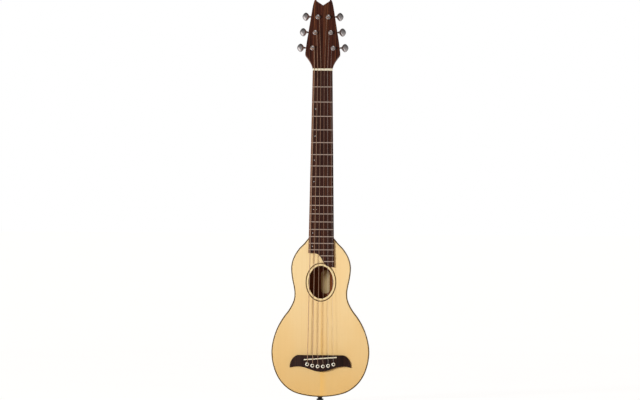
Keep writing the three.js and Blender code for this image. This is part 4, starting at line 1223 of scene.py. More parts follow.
def make_neck():
    """Neck, heel and headstock of one piece of mahogany, with the tenon in the body."""
    wood = finish("neck")
    head = head_frame()
    rings = volute_rings(head)
    rings.append(neck_ring(half_width(0), 0, NECK_DEPTH_AT_NUT, NUT_HIGH.z))
    rings += [neck_ring(half_width(d), 0, neck_depth(d), -d) for d in shaft_distances()]
    shaft = loft("shaft", rings, wood)
    half = TENON_WIDTH / 2
    low, high = -BODY_START - TENON_LENGTH, -BODY_START + TENON_OVERLAP
    corners = ((-half, low), (half, low), (half, high), (-half, high))
    tenon = loft("tenon", [[Vector((x, y, z)) for x, z in corners] for y in (TENON_FRONT, TENON_DEPTH)], wood)
    edge = bpy.context.scene.guitar_sizes.wood_edge
    board = plate("board", head_loops(head), 0, HEAD_THICKNESS, edge, wood, head)
    settle(joined("mahogany_neck", [shaft, tenon, board]), "neck_mahogany", "neck")


def make_veneer():
    """The rosewood face of the headstock."""
    head = head_frame()
    levels = [(head.inverted() @ v.co).y for v in frame["nodes"]["headstock_veneer"].data.vertices]
    veneer = plate("rosewood_face", head_loops(head), min(levels), 0, VENEER_EDGE, finish("veneer"), head)
    settle(veneer, "rosewood", "headstock_veneer")


# Fretboard

def crowned_level(point):
    """The level of a point of the board, whose front follows the crown."""
    return point.y + crown_drop(point.x) if point.y < -BOARD_FRONT / 2 else point.y


def make_fretboard():
    """The rosewood board with its crowned face and its swept end."""
    last = -BOARD_LOW.z
    low_edge = -half_width(BASS_END)
    outline = [Vector((-HALF_AT_NUT, 0)), Vector((low_edge, -BASS_END))]
    for step in range(1, END_STEPS):
        x = low_edge + (half_width(last) - low_edge) * step / END_STEPS
        outline.append(Vector((x, -board_end(x))))
    outline += [Vector((half_width(last), -last)), Vector((HALF_AT_NUT, 0))]
    board = plate("rosewood_board", [outline], -BOARD_FRONT, 0, BOARD_EDGE, finish("fretboard"))
    reach = max(abs(vertex.co.x) for vertex in board.data.vertices)
    cuts = [reach * (2 * step / FRET_STEPS - 1) for step in range(1, FRET_STEPS)]
    reshaped(board, cuts, crowned_level)
    settle(board, "rosewood", "fretboard")


def group(name, inputs):
    """A new Geometry Nodes tree with named inputs and a Material input, its input node and a Realize
    Instances node; ended() adds Set Material.
    """
    tree = bpy.data.node_groups.new(name, "GeometryNodeTree")
    for label, kind in inputs.items():
        tree.interface.new_socket(label, in_out="INPUT", socket_type=f"NodeSocket{kind}")
    tree.interface.new_socket("Material", in_out="INPUT", socket_type="NodeSocketMaterial")
    tree.interface.new_socket("Geometry", in_out="OUTPUT", socket_type="NodeSocketGeometry")
    given = add(tree, "NodeGroupInput").outputs
    realize = add(tree, "GeometryNodeRealizeInstances")
    return tree, given, realize


def ended(tree, given, geometry):
    """Links the last geometry through Set Material to the tree's output."""
    painted = add(tree, "GeometryNodeSetMaterial", {"Geometry": geometry, "Material": given["Material"]})
    add(tree, "NodeGroupOutput", {"Geometry": painted.outputs[0]})
    return tree


def fret_tree():
    """Frets along the board, each placed and cut by the rule, on a face that follows the crown."""
    tree, given, realize = group("frets", {
        "Wire": "Object", "Count": "Int", "Scale Length": "Float", "Half At Nut": "Float", "Taper": "Float",
        "Board Front": "Float", "Board Radius": "Float", "Bass End": "Float", "Sweep": "Float",
        "Curve Place": "Float", "Curve Softness": "Float", "Fret Inset": "Float", "Fret Width": "Float",
    })
    values = {socket.name: socket for socket in given}
    values["Index"] = add(tree, "GeometryNodeInputIndex").outputs[0]
    position = add(tree, "GeometryNodeInputPosition")
    values["Aside"] = add(tree, "ShaderNodeSeparateXYZ", {"Vector": position}).outputs["X"]
    for name, operation, *terms in FRET_RULE:
        inputs = {place: values.get(term, term) for place, term in enumerate(terms)}
        values[name] = add(tree, "ShaderNodeMath", inputs, operation=operation).outputs[0]
    points = add(tree, "GeometryNodePoints", {"Count": values["Count"]})
    place = add(tree, "ShaderNodeCombineXYZ", {
        "X": values["Middle"], "Y": values["Level"], "Z": values["Down"],
    })
    placed = add(tree, "GeometryNodeSetPosition", {"Geometry": points, "Position": place})
    wire = add(tree, "GeometryNodeObjectInfo", {"Object": values["Wire"]})
    size = add(tree, "ShaderNodeCombineXYZ", {"X": values["Length"], "Y": 1.0, "Z": 1.0})
    wires = add(tree, "GeometryNodeInstanceOnPoints", {
        "Points": placed, "Instance": wire.outputs["Geometry"], "Scale": size,
    })
    tree.links.new(wires.outputs[0], realize.inputs[0])
    offset = add(tree, "ShaderNodeCombineXYZ", {"Y": values["Drop"]})
    bent = add(tree, "GeometryNodeSetPosition", {"Geometry": realize, "Offset": offset})
    return ended(tree, given, bent)


def make_frets():
    """Nickel silver frets with round crowns and dressed ends."""
    sizes = bpy.context.scene.guitar_sizes
    half, tang = sizes.fret_width / 2, sizes.fret_width / 4
    rings = []
    for step in range(FRET_STEPS + 1):
        x = step / FRET_STEPS - 1 / 2
        ring = []
        for side in range(FRET_SIDES + 1):
            angle = math.pi * side / FRET_SIDES
            crown = max(math.sin(angle), 0) ** FRET_ROUNDNESS
            inward = FRET_END_SHARE * crown if step in (0, FRET_STEPS) else 0
            end = x - math.copysign(inward, x)
            ring.append(Vector((end, -sizes.fret_height * crown, -math.cos(angle) * half)))
        ring += [Vector((x, FIT, tang)), Vector((x, FIT, -tang))]
        rings.append(ring)
    wire = loft("wire", rings, finish("nickel"))
    frets = grown("fret_wires", fret_tree(), {
        "Wire": wire, "Count": sizes.fret_count, "Scale Length": SCALE_LENGTH, "Half At Nut": HALF_AT_NUT,
        "Taper": TAPER, "Board Front": BOARD_FRONT, "Board Radius": BOARD_RADIUS, "Bass End": BASS_END,
        "Sweep": -BOARD_LOW.z - BASS_END, "Curve Place": END_CURVE_PLACE,
        "Curve Softness": END_CURVE_SOFTNESS, "Fret Inset": FRET_INSET, "Fret Width": sizes.fret_width,
        "Material": finish("nickel"),
    })
    bpy.data.objects.remove(wire)
    settle(frets, "plain_steel")


def repeat_tree():
    """The same small piece on every point of a mesh."""
    tree, given, realize = group("repeat", {"Points": "Object", "Piece": "Object"})
    places = add(tree, "GeometryNodeObjectInfo", {"Object": given["Points"]})
    piece = add(tree, "GeometryNodeObjectInfo", {"Object": given["Piece"]})
    copies = add(tree, "GeometryNodeInstanceOnPoints", {
        "Points": places.outputs["Geometry"], "Instance": piece.outputs["Geometry"],
    })
    tree.links.new(copies.outputs[0], realize.inputs[0])
    return ended(tree, given, realize)


def repeated(name, piece, places, finish_name):
    """One mesh of like pieces at several places."""
    mesh = bpy.data.meshes.new("places")
    mesh.from_pydata(places, [], [])
    points = link(bpy.data.objects.new("places", mesh))
    made = grown(name, repeat_tree(), {"Points": points, "Piece": piece, "Material": finish(finish_name)})
    bpy.data.objects.remove(points)
    bpy.data.objects.remove(piece)
    return made


def fret_distance(number):
    """Distance of a fret below the nut."""
    return SCALE_LENGTH * (1 - 2 ** (-number / OCTAVE))


def make_dots():
    """Small pearl dots near the bass edge, two of them at the octave."""
    sizes = bpy.context.scene.guitar_sizes
    places = []
    for space in DOT_SPACES:
        middle = (fret_distance(space - 1) + fret_distance(space)) / 2
        x = sizes.dot_inset - half_width(middle)
        for extra in (0, sizes.dot_step) if space == DOUBLE_DOT_SPACE else (0,):
            places.append((x + extra, crown_drop(x + extra) - BOARD_FRONT, -middle))
    profile = scaled(DOT_SHARES, sizes.dot_radius / MM)
    dot = lathe("dot", profile, Matrix.Identity(4), finish("pearl"))
    settle(repeated("position_dots", dot, places, "pearl"), "bone")


# Nut, bridge, saddle and pins

def make_nut():
    """The bone nut: its top follows the crown and falls towards the headstock, with a groove a string."""
    low, high = NUT_LOW.z, NUT_HIGH.z
    edge = NUT_EDGE
    fall = NUT_FALL_SHARE * (high - low)
    rings = []
    for step in range(NUT_STEPS + 1):
        x = HALF_AT_NUT * (2 * step / NUT_STEPS - 1)
        top = NUT_TOP - crown_drop(x)
        for index, diameter in enumerate(STRING_DIAMETERS):
            aside = x - from_centre(index) * NUT_SPACING
            radius = diameter / 2 + GROOVE_ROOM
            if abs(aside) < radius:
                floor = NUT_TOP - GROOVE_DEPTH - crown_drop(x)
                top = min(top, floor + radius - math.sqrt(radius ** 2 - aside ** 2))
        if step in (0, NUT_STEPS):
            top -= edge
        section = [
            (low, 0), (low, top - edge), (low + edge / 3, top - edge / 3), (low + edge, top),
            (high - edge, top - fall), (high - edge / 3, top - fall - edge / 3), (high, top - fall - edge),
            (high, 0),
        ]
        rings.append([Vector((x, -y, z)) for z, y in section])
    settle(loft("bone_nut", rings, finish("bone")), "bone", "nut")


def make_saddle():
    """The bone saddle, leaning with the compensation, with a round top under the strings."""
    half = SADDLE_HIGH.x
    foot = -SADDLE_HIGH.y
    radius = SADDLE_THICKNESS / 2
    rings = []
    for step in range(SADDLE_STEPS + 1):
        share = 2 * step / SADDLE_STEPS - 1
        x = half * math.sin(math.pi / 2 * share)
        into_end = max(abs(share) - SADDLE_STRAIGHT_SHARE, 0) / (1 - SADDLE_STRAIGHT_SHARE)
        slim = radius * (1 - SADDLE_SLIMMING_SHARE * into_end)
        top = SADDLE_TOP - crown_drop(x) - radius
        ring = [Vector((x, -foot, saddle_z(x) - slim))]
        for turn in range(SADDLE_TURNS + 1):
            angle = math.pi * turn / SADDLE_TURNS
            ring.append(Vector((x, -top - radius * math.sin(angle), saddle_z(x) - slim * math.cos(angle))))
        ring.append(Vector((x, -foot, saddle_z(x) + slim)))
        rings.append(ring)
    settle(loft("bone_saddle", rings, finish("bone")), "bone", "saddle")


def wing_share(share):
    """The part of the bridge's thickness left by the wing's scoop."""
    for (inner, thick), (outer, thin) in zip(WING_SHARES, WING_SHARES[1:]):
        if inner <= share <= outer:
            return min(thick + (thin - thick) * (share - inner) / (outer - inner), 1)
    return 1


def make_bridge():
    """The rosewood bridge, whose wings are scooped thin."""
    loops = [smoothed(loop) for loop in face_loops("bridge", BACK)]
    edge = bpy.context.scene.guitar_sizes.wood_edge
    bridge = plate("rosewood_bridge", loops[:1], -BRIDGE_FRONT, 0, edge, finish("rosewood"))
    half = BRIDGE_WIDTH / 2
    first = WING_SHARES[0][0]
    wing = [half * (first + (1 - first) * step / WING_STEPS) for step in range(WING_STEPS)]
    cuts = [side * x for side in (-1, 1) for x in wing]
    reshaped(bridge, cuts, lambda point: point.y * wing_share(abs(point.x) / half))
    settle(bridge, "rosewood", "bridge")


def make_pins():
    """Six tapered pins with domed heads, and the dark dot inlaid in each."""
    seat = -BRIDGE_FRONT / MM - PIN_LIFT
    turns = [math.pi / 2 * step / PIN_DOME_STEPS for step in range(PIN_DOME_STEPS)]
    dome = [(math.cos(turn), -PIN_RIM_SHARE - PIN_DOME_SHARE * math.sin(turn)) for turn in turns]
    profile = scaled([*PIN_SHANK_SHARES, *dome, PIN_TIP_SHARES], PIN_HEAD_RADIUS, seat)
    inlay = scaled(PIN_DOT_SHARES, PIN_HEAD_RADIUS, seat)
    for index in range(STRING_COUNT):
        number = number_of(index)
        place = Matrix.Translation(pin_place(index))
        pin = lathe(f"pin_{number}", profile, place, finish("pin"))
        settle(pin, "pin_plastic", f"bridge_pin_{number}")
        settle(lathe(f"pin_dot_{number}", inlay, place, finish("dot")), "black_plastic")


def make_end_pin():
    """The strap button at the tail, turned from black nylon."""
    place = Matrix.Translation((0, BODY_HIGH.y / 2, BODY_LOW.z)) @ Matrix.Rotation(math.pi / 2, 4, "X")
    profile = scaled(END_PIN_SHARES, END_PIN_SIZE)
    settle(lathe("strap_pin", profile, place, finish("peg"), END_PIN_SIDES), "black_plastic", "end_pin")


# Strings

def winding(index, nut_point):
    """The turns round a post in world places, from the tangent towards the post's hole."""
    place = tuner_frame(index)
    start = place.inverted() @ nut_point
    radius = POST_RADIUS * MM + STRING_DIAMETERS[index] / 2 + WINDING_FIT
    pitch = STRING_DIAMETERS[index] + WINDING_GAP
    turning = -math.copysign(1, from_centre(index))
    first = math.atan2(start.z, start.x) + turning * math.acos(radius / math.hypot(start.x, start.z))
    # The last turn ends where the hole faces up or down the headstock
    wanted = first + turning * math.tau * WINDING_TURNS[index]
    last = math.pi / 2 + math.pi * round((wanted - math.pi / 2) / math.pi)
    turns = abs(last - first) / math.tau
    points = []
    for step in range(round(turns * WINDING_STEPS) + 1):
        turn = turns * step / round(turns * WINDING_STEPS)
        angle = first + turning * math.tau * turn
        level = POST_HOLE_LEVEL * MM + (turns - turn) * pitch
        points.append(place @ Vector((radius * math.cos(angle), level, radius * math.sin(angle))))
    return points


def make_strings():
    """Each string as its fixed span and, on the post, the turns that follow it."""
    for index, diameter in enumerate(STRING_DIAMETERS):
        number = number_of(index)
        material = finish("wound" if index < WOUND_COUNT else "steel")
        slot = "wound_bronze" if index < WOUND_COUNT else "plain_steel"
        radius = diameter / 2
        nut_x, saddle_x = from_centre(index) * NUT_SPACING, from_centre(index) * SADDLE_SPACING
        nut_point = Vector((nut_x, crown_drop(nut_x) - NUT_TOP + GROOVE_DEPTH - radius, NUT_LOW.z))
        pin = pin_place(index)
        under = -BRIDGE_FRONT + radius + FIT
        groove = pin + Vector((0, 0, PIN_RADIUS - radius))
        ball_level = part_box(f"string_{number}")[1].y - BALL_RADIUS
        saddle_point = Vector((
            saddle_x, crown_drop(saddle_x) - SADDLE_TOP - radius, saddle_z(saddle_x) - SADDLE_THICKNESS / 2,
        ))
        beyond = saddle_point + Vector((0, SADDLE_FALL, SADDLE_THICKNESS))
        turns = winding(index, nut_point)
        ball = [pin + Vector((0, ball_level, BALL_REACH + end * BALL_LENGTH / 2)) for end in (1, -1)]
        path = [
            groove + Vector((0, ball_level - BALL_RADIUS, 0)), groove + Vector((0, under + radius + FIT, 0)),
            pin + Vector((0, under, RAMP_REACH)), saddle_point, beyond, nut_point,
        ]
        route = ball + path + turns[:WINDING_STEPS]
        radii = [BALL_RADIUS] * len(ball) + [radius] * (len(route) - len(ball))
        settle(tube(f"span_{number}", route, radii, material), slot, f"string_{number}")
        end = turns[-1]
        centre = tuner_frame(index) @ Vector((0, POST_HOLE_LEVEL * MM, 0))
        across = centre - end
        tail = [end + across * share for share in TAIL_SHARES]
        tail.append(centre + across.normalized() * (across.length + TAIL_LENGTH))
        coil = turns[WINDING_STEPS // 4:] + tail
        settle(tube(f"coil_{number}", coil, radius, material), slot, body=f"post_{number}")


# Tuning machines

def sideways(place, side):
    """The frame of a machine's shaft, with local Y out to the side of the headstock."""
    return place @ Matrix.Translation((0, GEAR_PLANE * MM, SHAFT_RISE * MM)) @ Matrix.Rotation(
        -side * math.pi / 2, 4, "Z",
    )


def rounded_outline(half, low, high, corner):
    """A rectangle with round corners, in metres from millimetres."""
    points = []
    for quarter, (x, z) in enumerate((
        (half - corner, high - corner), (corner - half, high - corner),
        (corner - half, low + corner), (half - corner, low + corner),
    )):
        for step in range(CORNER_STEPS + 1):
            angle = math.pi / 2 * (quarter + step / CORNER_STEPS)
            points.append(Vector((x + corner * math.cos(angle), z + corner * math.sin(angle))) * MM)
    return points


def case_mesh(side):
    """The die-cast case with its rooms for post, gear, worm and shaft, in the machine's own frame."""
    chrome = finish("chrome")
    here = Matrix.Identity(4)
    shaft = sideways(here, side)
    outline = rounded_outline(HOUSING_HALF, -HOUSING_BELOW, HOUSING_ABOVE, HOUSING_CORNER)
    case = plate("case", [outline], HOUSING_FRONT * MM, HOUSING_BACK * MM, HOUSING_EDGE * MM, chrome)
    outline = rounded_outline(LUG_HALF, -HOUSING_BELOW - LUG_REACH, 0, LUG_HALF - LUG_FLAT)
    lug = plate("lug", [outline], HOUSING_FRONT * MM, LUG_BACK * MM, LUG_EDGE * MM, chrome)
    sleeve_ends = ((SLEEVE_RADIUS, SLEEVE_FRONT), (SLEEVE_RADIUS, HOUSING_FRONT + SLEEVE_OVERLAP))
    sleeve = lathe("sleeve", sleeve_ends, here, chrome)
    boss = lathe("boss", scaled(BOSS_SHARES, BOSS_RADIUS), shaft, chrome)
    gear_end = GEAR_FRONT + GEAR_THICKNESS
    rooms = []
    for name, radius, start, end, place in (
        ("post_room", POST_RADIUS + ROOM_PLAY, 0, GEAR_PLANE, here),
        ("gear_room", GEAR_ROOM_RADIUS, GEAR_FRONT - ROOM_PLAY, gear_end + ROOM_PLAY, here),
        ("worm_room", WORM_ROOM_RADIUS, -WORM_REACH - ROOM_PLAY, WORM_REACH + ROOM_PLAY, shaft),
        ("shaft_room", SHAFT_RADIUS + ROOM_PLAY, 0, SHAFT_ROOM_REACH, shaft),
    ):
        rooms.append(lathe(name, [(radius, start), (radius, end)], place, chrome))
    case = combined(case, [lug, sleeve, boss], "UNION")
    case = combined(case, rooms, "DIFFERENCE")
    mesh = case.data
    bpy.data.objects.remove(case)
    return mesh


def placed_copy(name, mesh, place):
    """A copy of a mesh moved into place, with its object left at the origin."""
    copy = mesh.copy()
    copy.transform(place)
    return link(bpy.data.objects.new(name, copy))


def button_mesh(side):
    """The knob: a soft diamond from the front, in the machine's own frame."""
    rings = []

    def soft(value):
        return math.copysign(abs(value) ** BUTTON_SOFTNESS, value)

    for row in range(1, BUTTON_ROWS):
        polar = math.pi * row / BUTTON_ROWS
        ring = []
        for column in range(BUTTON_COLUMNS):
            turn = math.tau * column / BUTTON_COLUMNS
            wide = math.sin(polar) ** BUTTON_FLATNESS
            ring.append(Vector((
                side * BUTTON_REACH + wide * soft(math.cos(turn)) * BUTTON_WIDTH / 2,
                GEAR_PLANE - math.cos(polar) * BUTTON_THICKNESS / 2,
                SHAFT_RISE + wide * soft(math.sin(turn)) * BUTTON_HEIGHT / 2,
            )) * MM)
        rings.append(ring)
    knob = loft("knob", rings, finish("chrome"))
    profile = [(SHAFT_RADIUS, WORM_REACH - CUT_OVERLAP), *scaled(COLLAR_SHARES, COLLAR_LENGTH, COLLAR_START)]
    stem = lathe("stem", profile, sideways(Matrix.Identity(4), side), finish("chrome"))
    knob = joined("knob", [knob, stem])
    mesh = knob.data
    bpy.data.objects.remove(knob)
    return mesh


def make_screws():
    """The slotted screw that holds each case, with its head on the case's lug."""
    chrome = finish("chrome")
    leaning = tuner_frame(0).to_3x3().to_4x4()
    seat = LUG_BACK - CUT_OVERLAP
    profile = scaled(SCREW_SHANK_SHARES, SCREW_SIZE, HOUSING_FRONT)
    profile += scaled(SCREW_HEAD_SHARES, SCREW_SIZE, seat)
    screw = lathe("screw", profile, leaning, chrome)
    outline = rounded_outline(SLOT_HALF_LENGTH, -SLOT_HALF_WIDTH, SLOT_HALF_WIDTH, SLOT_CORNER)
    slot = plate("slot", [outline], (seat + SLOT_FLOOR) * MM, (seat + SLOT_TOP) * MM, 0, chrome, leaning)
    screw = combined(screw, [slot], "DIFFERENCE")
    below = Vector((0, 0, -SCREW_BELOW * MM))
    places = [tuner_frame(index) @ below for index in range(STRING_COUNT)]
    settle(repeated("case_screws", screw, places, "chrome"), "chrome")


def make_tuners():
    """Cases, bushings, posts with gears, and buttons with worms."""
    chrome = finish("chrome")
    cases = {side: case_mesh(side) for side in (-1, 1)}
    knobs = {side: button_mesh(side) for side in (-1, 1)}
    bush_section = scaled(BUSH_SHARES, BUSH_RADIUS)
    post_section = [(POST_TIP_SHARES[-1][0] * POST_RADIUS, GEAR_PLANE), (POST_RADIUS, GEAR_PLANE)]
    post_section += scaled(POST_TIP_SHARES, POST_RADIUS, POST_TOP)
    hole_section = [(POST_HOLE_RADIUS, end * 2 * POST_RADIUS) for end in (-1, 1)]
    for index in range(STRING_COUNT):
        number = number_of(index)
        side = int(math.copysign(1, from_centre(index)))
        place = tuner_frame(index)
        case = placed_copy(f"case_{number}", cases[side], place)
        settle(case, "chrome", f"tuner_housing_{number}")
        bush = turned_ring(f"bush_{number}", bush_section, place, chrome)
        settle(bush, "chrome", f"tuner_bushing_{number}")
        post = lathe(f"post_{number}", post_section, place, chrome)
        level = Matrix.Translation((0, POST_HOLE_LEVEL * MM, 0))
        hole_frame = place @ level @ Matrix.Rotation(math.pi / 2, 4, "X")
        hole = lathe("hole", hole_section, hole_frame, chrome, POST_HOLE_SIDES)
        post = combined(post, [hole], "DIFFERENCE")
        gear_point = place @ Vector((0, (GEAR_FRONT - CUT_OVERLAP) * MM, 0))
        gear = cad_part(f"tuner_post_{number}", gear_point, -place.col[1].xyz, chrome)
        post = joined(f"post_and_gear_{number}", [post, gear])
        settle(post, "chrome", f"tuner_post_{number}", body=f"post_{number}")
        knob = placed_copy("knob", knobs[side], place)
        worm_point = place @ Vector((side * (WORM_REACH - WORM_OVERLAP) * MM, 0, 0))
        worm = cad_part(f"tuner_button_{number}", worm_point, side * place.col[0].xyz, chrome)
        knob = joined(f"knob_and_worm_{number}", [knob, worm])
        settle(knob, "chrome", f"tuner_button_{number}", body=f"button_{number}")


# Stage

def make_stage():
    """Camera, two lamps, pale surroundings, a pale floor below the hanging guitar, and cards round it."""
    stage = bpy.context.scene.guitar_stage
    eye = Vector((CAMERA_ASIDE, -stage.distance, -stage.centre))
    lens = bpy.data.cameras.new("camera")
    lens.sensor_width = SENSOR_WIDTH
    lens.lens = SENSOR_WIDTH * stage.distance / (PICTURE_WIDTH * stage.pixel)
    lens.clip_end = CLIP_SHARE * stage.distance
    camera = link(bpy.data.objects.new("camera", lens))
    facing = Matrix.Rotation(math.pi / 2, 4, "X") @ Matrix.Rotation(CAMERA_ROLL, 4, "Z")
    camera.matrix_world = Matrix.Translation(eye) @ facing
    bpy.context.scene.camera = camera
    add_lamp("key", stage.key, stage.key_colour, KEY_ASIDE, KEY_RISE, KEY_ANGLE)
    add_lamp("fill", stage.fill, stage.key_colour, math.pi + FILL_ASIDE, FILL_RISE, FILL_ANGLE)
    world = bpy.data.worlds.new("surroundings")
    world.use_nodes = True
    tree = world.node_tree
    seen = directly_seen(tree)
    soft = [part * stage.ambient for part in stage.ambient_colour]
    background = tree.nodes["Background"]
    tree.links.new(blended(tree, seen, soft, (1, 1, 1)), background.inputs["Color"])
    bpy.context.scene.world = world
    make_floor()
    make_cards()
    bpy.context.scene.view_settings.view_transform = "Standard"


def add_lamp(name, strength, rgb, aside, rise, angle):
    """A distant lamp; the cards stand for it in the shine, so that no hard spot of it shows."""
    light = bpy.data.lights.new(name, "SUN")
    light.energy = strength
    light.color = rgb
    light.angle = angle
    lamp = link(bpy.data.objects.new(name, light))
    lamp.visible_glossy = False
    level = math.cos(rise)
    heading = Vector((math.sin(aside) * level, math.cos(aside) * level, -math.sin(rise)))
    lamp.matrix_world = heading.to_track_quat("-Z", "Y").to_matrix().to_4x4()


def directly_seen(tree):
    """One for rays that see the surroundings directly, in a mirror or through glass, and otherwise nought."""
    path = add(tree, "ShaderNodeLightPath").outputs
    seen = path["Is Camera Ray"]
    for kind in ("Is Glossy Ray", "Is Transmission Ray"):
        seen = add(tree, "ShaderNodeMath", {0: seen, 1: path[kind]}, operation="MAXIMUM").outputs[0]
    return seen


def flat_stage(name, points, faces, material):
    """A thing of flat faces for the stage, which isn't part of the guitar."""
    mesh = bpy.data.meshes.new(name)
    mesh.from_pydata(points, [], faces)
    mesh.materials.append(material)
    piece = link(bpy.data.objects.new(name, mesh))
    return piece


def make_floor():
    """Pale painted floor just below the guitar; it keeps the shadow and is otherwise as white as the rest."""
    made = started("painted_floor")
    tree = made[1]
    clouds = streaks(tree, made[3], *PATTERNS["floor clouds"])
    paint = blended(tree, clouds, linear(FLOOR_CLOUD), linear(FLOOR_PAINT), 0.3, 0.7)
    material = surfaced(made, paint, clouds, RELIEFS["floor"], roughness=0.9)
    glow = add(tree, "ShaderNodeEmission", {"Strength": FLOOR_GLOW})
    share = add(tree, "ShaderNodeMath", {0: directly_seen(tree), 1: FLOOR_GLOW_SHARE}, operation="MULTIPLY")
    mixed = add(tree, "ShaderNodeMixShader", {0: share, 1: made[2], 2: glow})
    tree.links.new(mixed.outputs[0], tree.nodes["Material Output"].inputs["Surface"])
    level = CAD_LOW.z - FIT
    corners = [(x * FLOOR_HALF, y * FLOOR_HALF, level) for x, y in ((-1, -1), (1, -1), (1, 1), (-1, 1))]
    flat_stage("floor", corners, [(0, 1, 2, 3)], material)


def make_cards():
    """A round room of glowing cards, seen only in the shine: light below and beside the lamp, dark above."""
    # Painted reflections: glowing cards that only the shine sees, dark above and light below and beside the
    # lamp
    made = started("grey_card")
    tree = made[1]
    heading = add(tree, "ShaderNodeVectorMath", {0: made[3]}, operation="NORMALIZE")
    lamp = (-math.sin(KEY_ASIDE), -math.cos(KEY_ASIDE), 0)
    aside = add(tree, "ShaderNodeVectorMath", {0: heading, 1: lamp}, operation="DOT_PRODUCT").outputs["Value"]
    rise = add(tree, "ShaderNodeSeparateXYZ", {"Vector": heading}).outputs["Z"]
    glows = {}
    for name, value, (start, end, low, high) in (
        ("around", aside, AROUND_GLOW), ("spot", aside, SPOT_GLOW), ("below", rise, BELOW_GLOW),
    ):
        glows[name] = add(tree, "ShaderNodeMapRange", {
            "Value": value, "From Min": start, "From Max": end, "To Min": low, "To Max": high,
        })
    terms = {0: glows["below"], 1: glows["around"], 2: glows["spot"]}
    strength = add(tree, "ShaderNodeMath", terms, operation="MULTIPLY_ADD")
    glow = add(tree, "ShaderNodeEmission", {"Strength": strength})
    tree.links.new(glow.outputs[0], tree.nodes["Material Output"].inputs["Surface"])
    tree.nodes.remove(made[2])
    turns = [math.tau * step / CARD_SIDES for step in range(CARD_SIDES)]
    points = [
        (CARD_RADIUS * math.cos(turn), CARD_RADIUS * math.sin(turn), level)
        for level in (CAD_LOW.z, CARD_HEIGHT) for turn in turns
    ]
    faces = ring_faces(2, CARD_SIDES) + [range(CARD_SIDES), range(CARD_SIDES, 2 * CARD_SIDES)]
    cards = flat_stage("cards", points, faces, made[0])
    cards.visible_camera = cards.visible_diffuse = cards.visible_shadow = cards.visible_transmission = False


class GUITAR_OT_stage(bpy.types.Operator):
    """Sets camera, light, backdrop and floor"""

    bl_idname = "guitar.stage"
    bl_label = "Stage"
    bl_options = {"REGISTER", "UNDO"}

    def execute(self, context):
        make_stage()
        return {"FINISHED"}


class GUITAR_OT_soundboard(bpy.types.Operator):
    """Makes the spruce top with its rosette"""

    bl_idname = "guitar.soundboard"
    bl_label = "Soundboard"
    bl_options = {"REGISTER", "UNDO"}

    def execute(self, context):
        make_soundboard()
        make_rosette()
        return {"FINISHED"}


class GUITAR_OT_shell(bpy.types.Operator):
    """Makes back, sides and bindings"""

    bl_idname = "guitar.shell"
    bl_label = "Back, sides and binding"
    bl_options = {"REGISTER", "UNDO"}

    def execute(self, context):
        make_shell()
        return {"FINISHED"}


class GUITAR_OT_inside(bpy.types.Operator):
    """Makes the label, and finishes blocks, braces and linings"""

    bl_idname = "guitar.inside"
    bl_label = "Inside of the body"
    bl_options = {"REGISTER", "UNDO"}

    def execute(self, context):
        make_inside()
        return {"FINISHED"}


class GUITAR_OT_neck(bpy.types.Operator):
    """Makes neck, heel and headstock with its veneer"""

    bl_idname = "guitar.neck"
    bl_label = "Neck"
    bl_options = {"REGISTER", "UNDO"}

    def execute(self, context):
        make_neck()
        make_veneer()
        return {"FINISHED"}


class GUITAR_OT_fretboard(bpy.types.Operator):
    """Makes the fretboard with frets and position dots"""

    bl_idname = "guitar.fretboard"
    bl_label = "Fretboard"
    bl_options = {"REGISTER", "UNDO"}

    def execute(self, context):
        make_fretboard()
        make_frets()
        make_dots()
        return {"FINISHED"}


class GUITAR_OT_nut(bpy.types.Operator):
    """Makes the nut"""

    bl_idname = "guitar.nut"
    bl_label = "Nut"
    bl_options = {"REGISTER", "UNDO"}

    def execute(self, context):
        make_nut()
        return {"FINISHED"}


class GUITAR_OT_bridge(bpy.types.Operator):
    """Makes bridge, saddle and bridge pins"""

    bl_idname = "guitar.bridge"
    bl_label = "Bridge"
    bl_options = {"REGISTER", "UNDO"}

    def execute(self, context):
        make_bridge()
        make_saddle()
        make_pins()
        return {"FINISHED"}


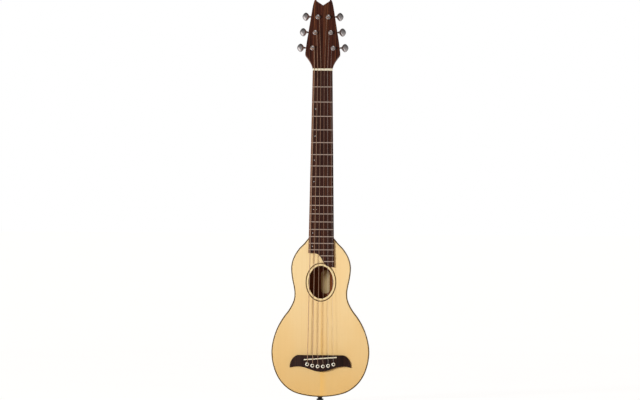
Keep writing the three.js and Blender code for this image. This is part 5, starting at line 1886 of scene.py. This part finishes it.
class GUITAR_OT_strings(bpy.types.Operator):
    """Makes the six strings and their turns round the posts"""

    bl_idname = "guitar.strings"
    bl_label = "Strings"
    bl_options = {"REGISTER", "UNDO"}

    def execute(self, context):
        make_strings()
        return {"FINISHED"}


class GUITAR_OT_tuners(bpy.types.Operator):
    """Makes the six tuning machines with their screws"""

    bl_idname = "guitar.tuners"
    bl_label = "Tuning machines"
    bl_options = {"REGISTER", "UNDO"}

    def execute(self, context):
        make_tuners()
        make_screws()
        return {"FINISHED"}


class GUITAR_OT_end_pin(bpy.types.Operator):
    """Makes the strap button at the tail"""

    bl_idname = "guitar.end_pin"
    bl_label = "End pin"
    bl_options = {"REGISTER", "UNDO"}

    def execute(self, context):
        make_end_pin()
        return {"FINISHED"}


OPERATORS = (
    GUITAR_OT_stage, GUITAR_OT_soundboard, GUITAR_OT_shell, GUITAR_OT_inside, GUITAR_OT_neck,
    GUITAR_OT_fretboard, GUITAR_OT_nut, GUITAR_OT_bridge, GUITAR_OT_strings, GUITAR_OT_tuners,
    GUITAR_OT_end_pin,
)
PROPERTIES = {"guitar_sizes": GuitarSizes, "guitar_finishes": GuitarFinishes, "guitar_stage": GuitarStage}


class GUITAR_PT_panel(bpy.types.Panel):
    """Lists the guitar's operators, sizes and colours"""

    bl_idname = "GUITAR_PT_panel"
    bl_label = "Travel guitar"
    bl_space_type = "VIEW_3D"
    bl_region_type = "UI"
    bl_category = "Guitar"

    def draw(self, context):
        for operator in OPERATORS:
            self.layout.operator(operator.bl_idname)
        for group_name, kind in PROPERTIES.items():
            box = self.layout.box()
            for name in kind.__annotations__:
                box.prop(getattr(context.scene, group_name), name)


def register():
    for kind in (*PROPERTIES.values(), *OPERATORS, GUITAR_PT_panel):
        bpy.utils.register_class(kind)
    for name, kind in PROPERTIES.items():
        setattr(bpy.types.Scene, name, PointerProperty(type=kind))


def unregister():
    for name in PROPERTIES:
        delattr(bpy.types.Scene, name)
    for kind in reversed((*PROPERTIES.values(), *OPERATORS, GUITAR_PT_panel)):
        bpy.utils.unregister_class(kind)


def main():
    register()
    for operator in OPERATORS:
        getattr(bpy.ops.guitar, operator.bl_idname.split(".")[1])()


if __name__ == "__main__":
    main()
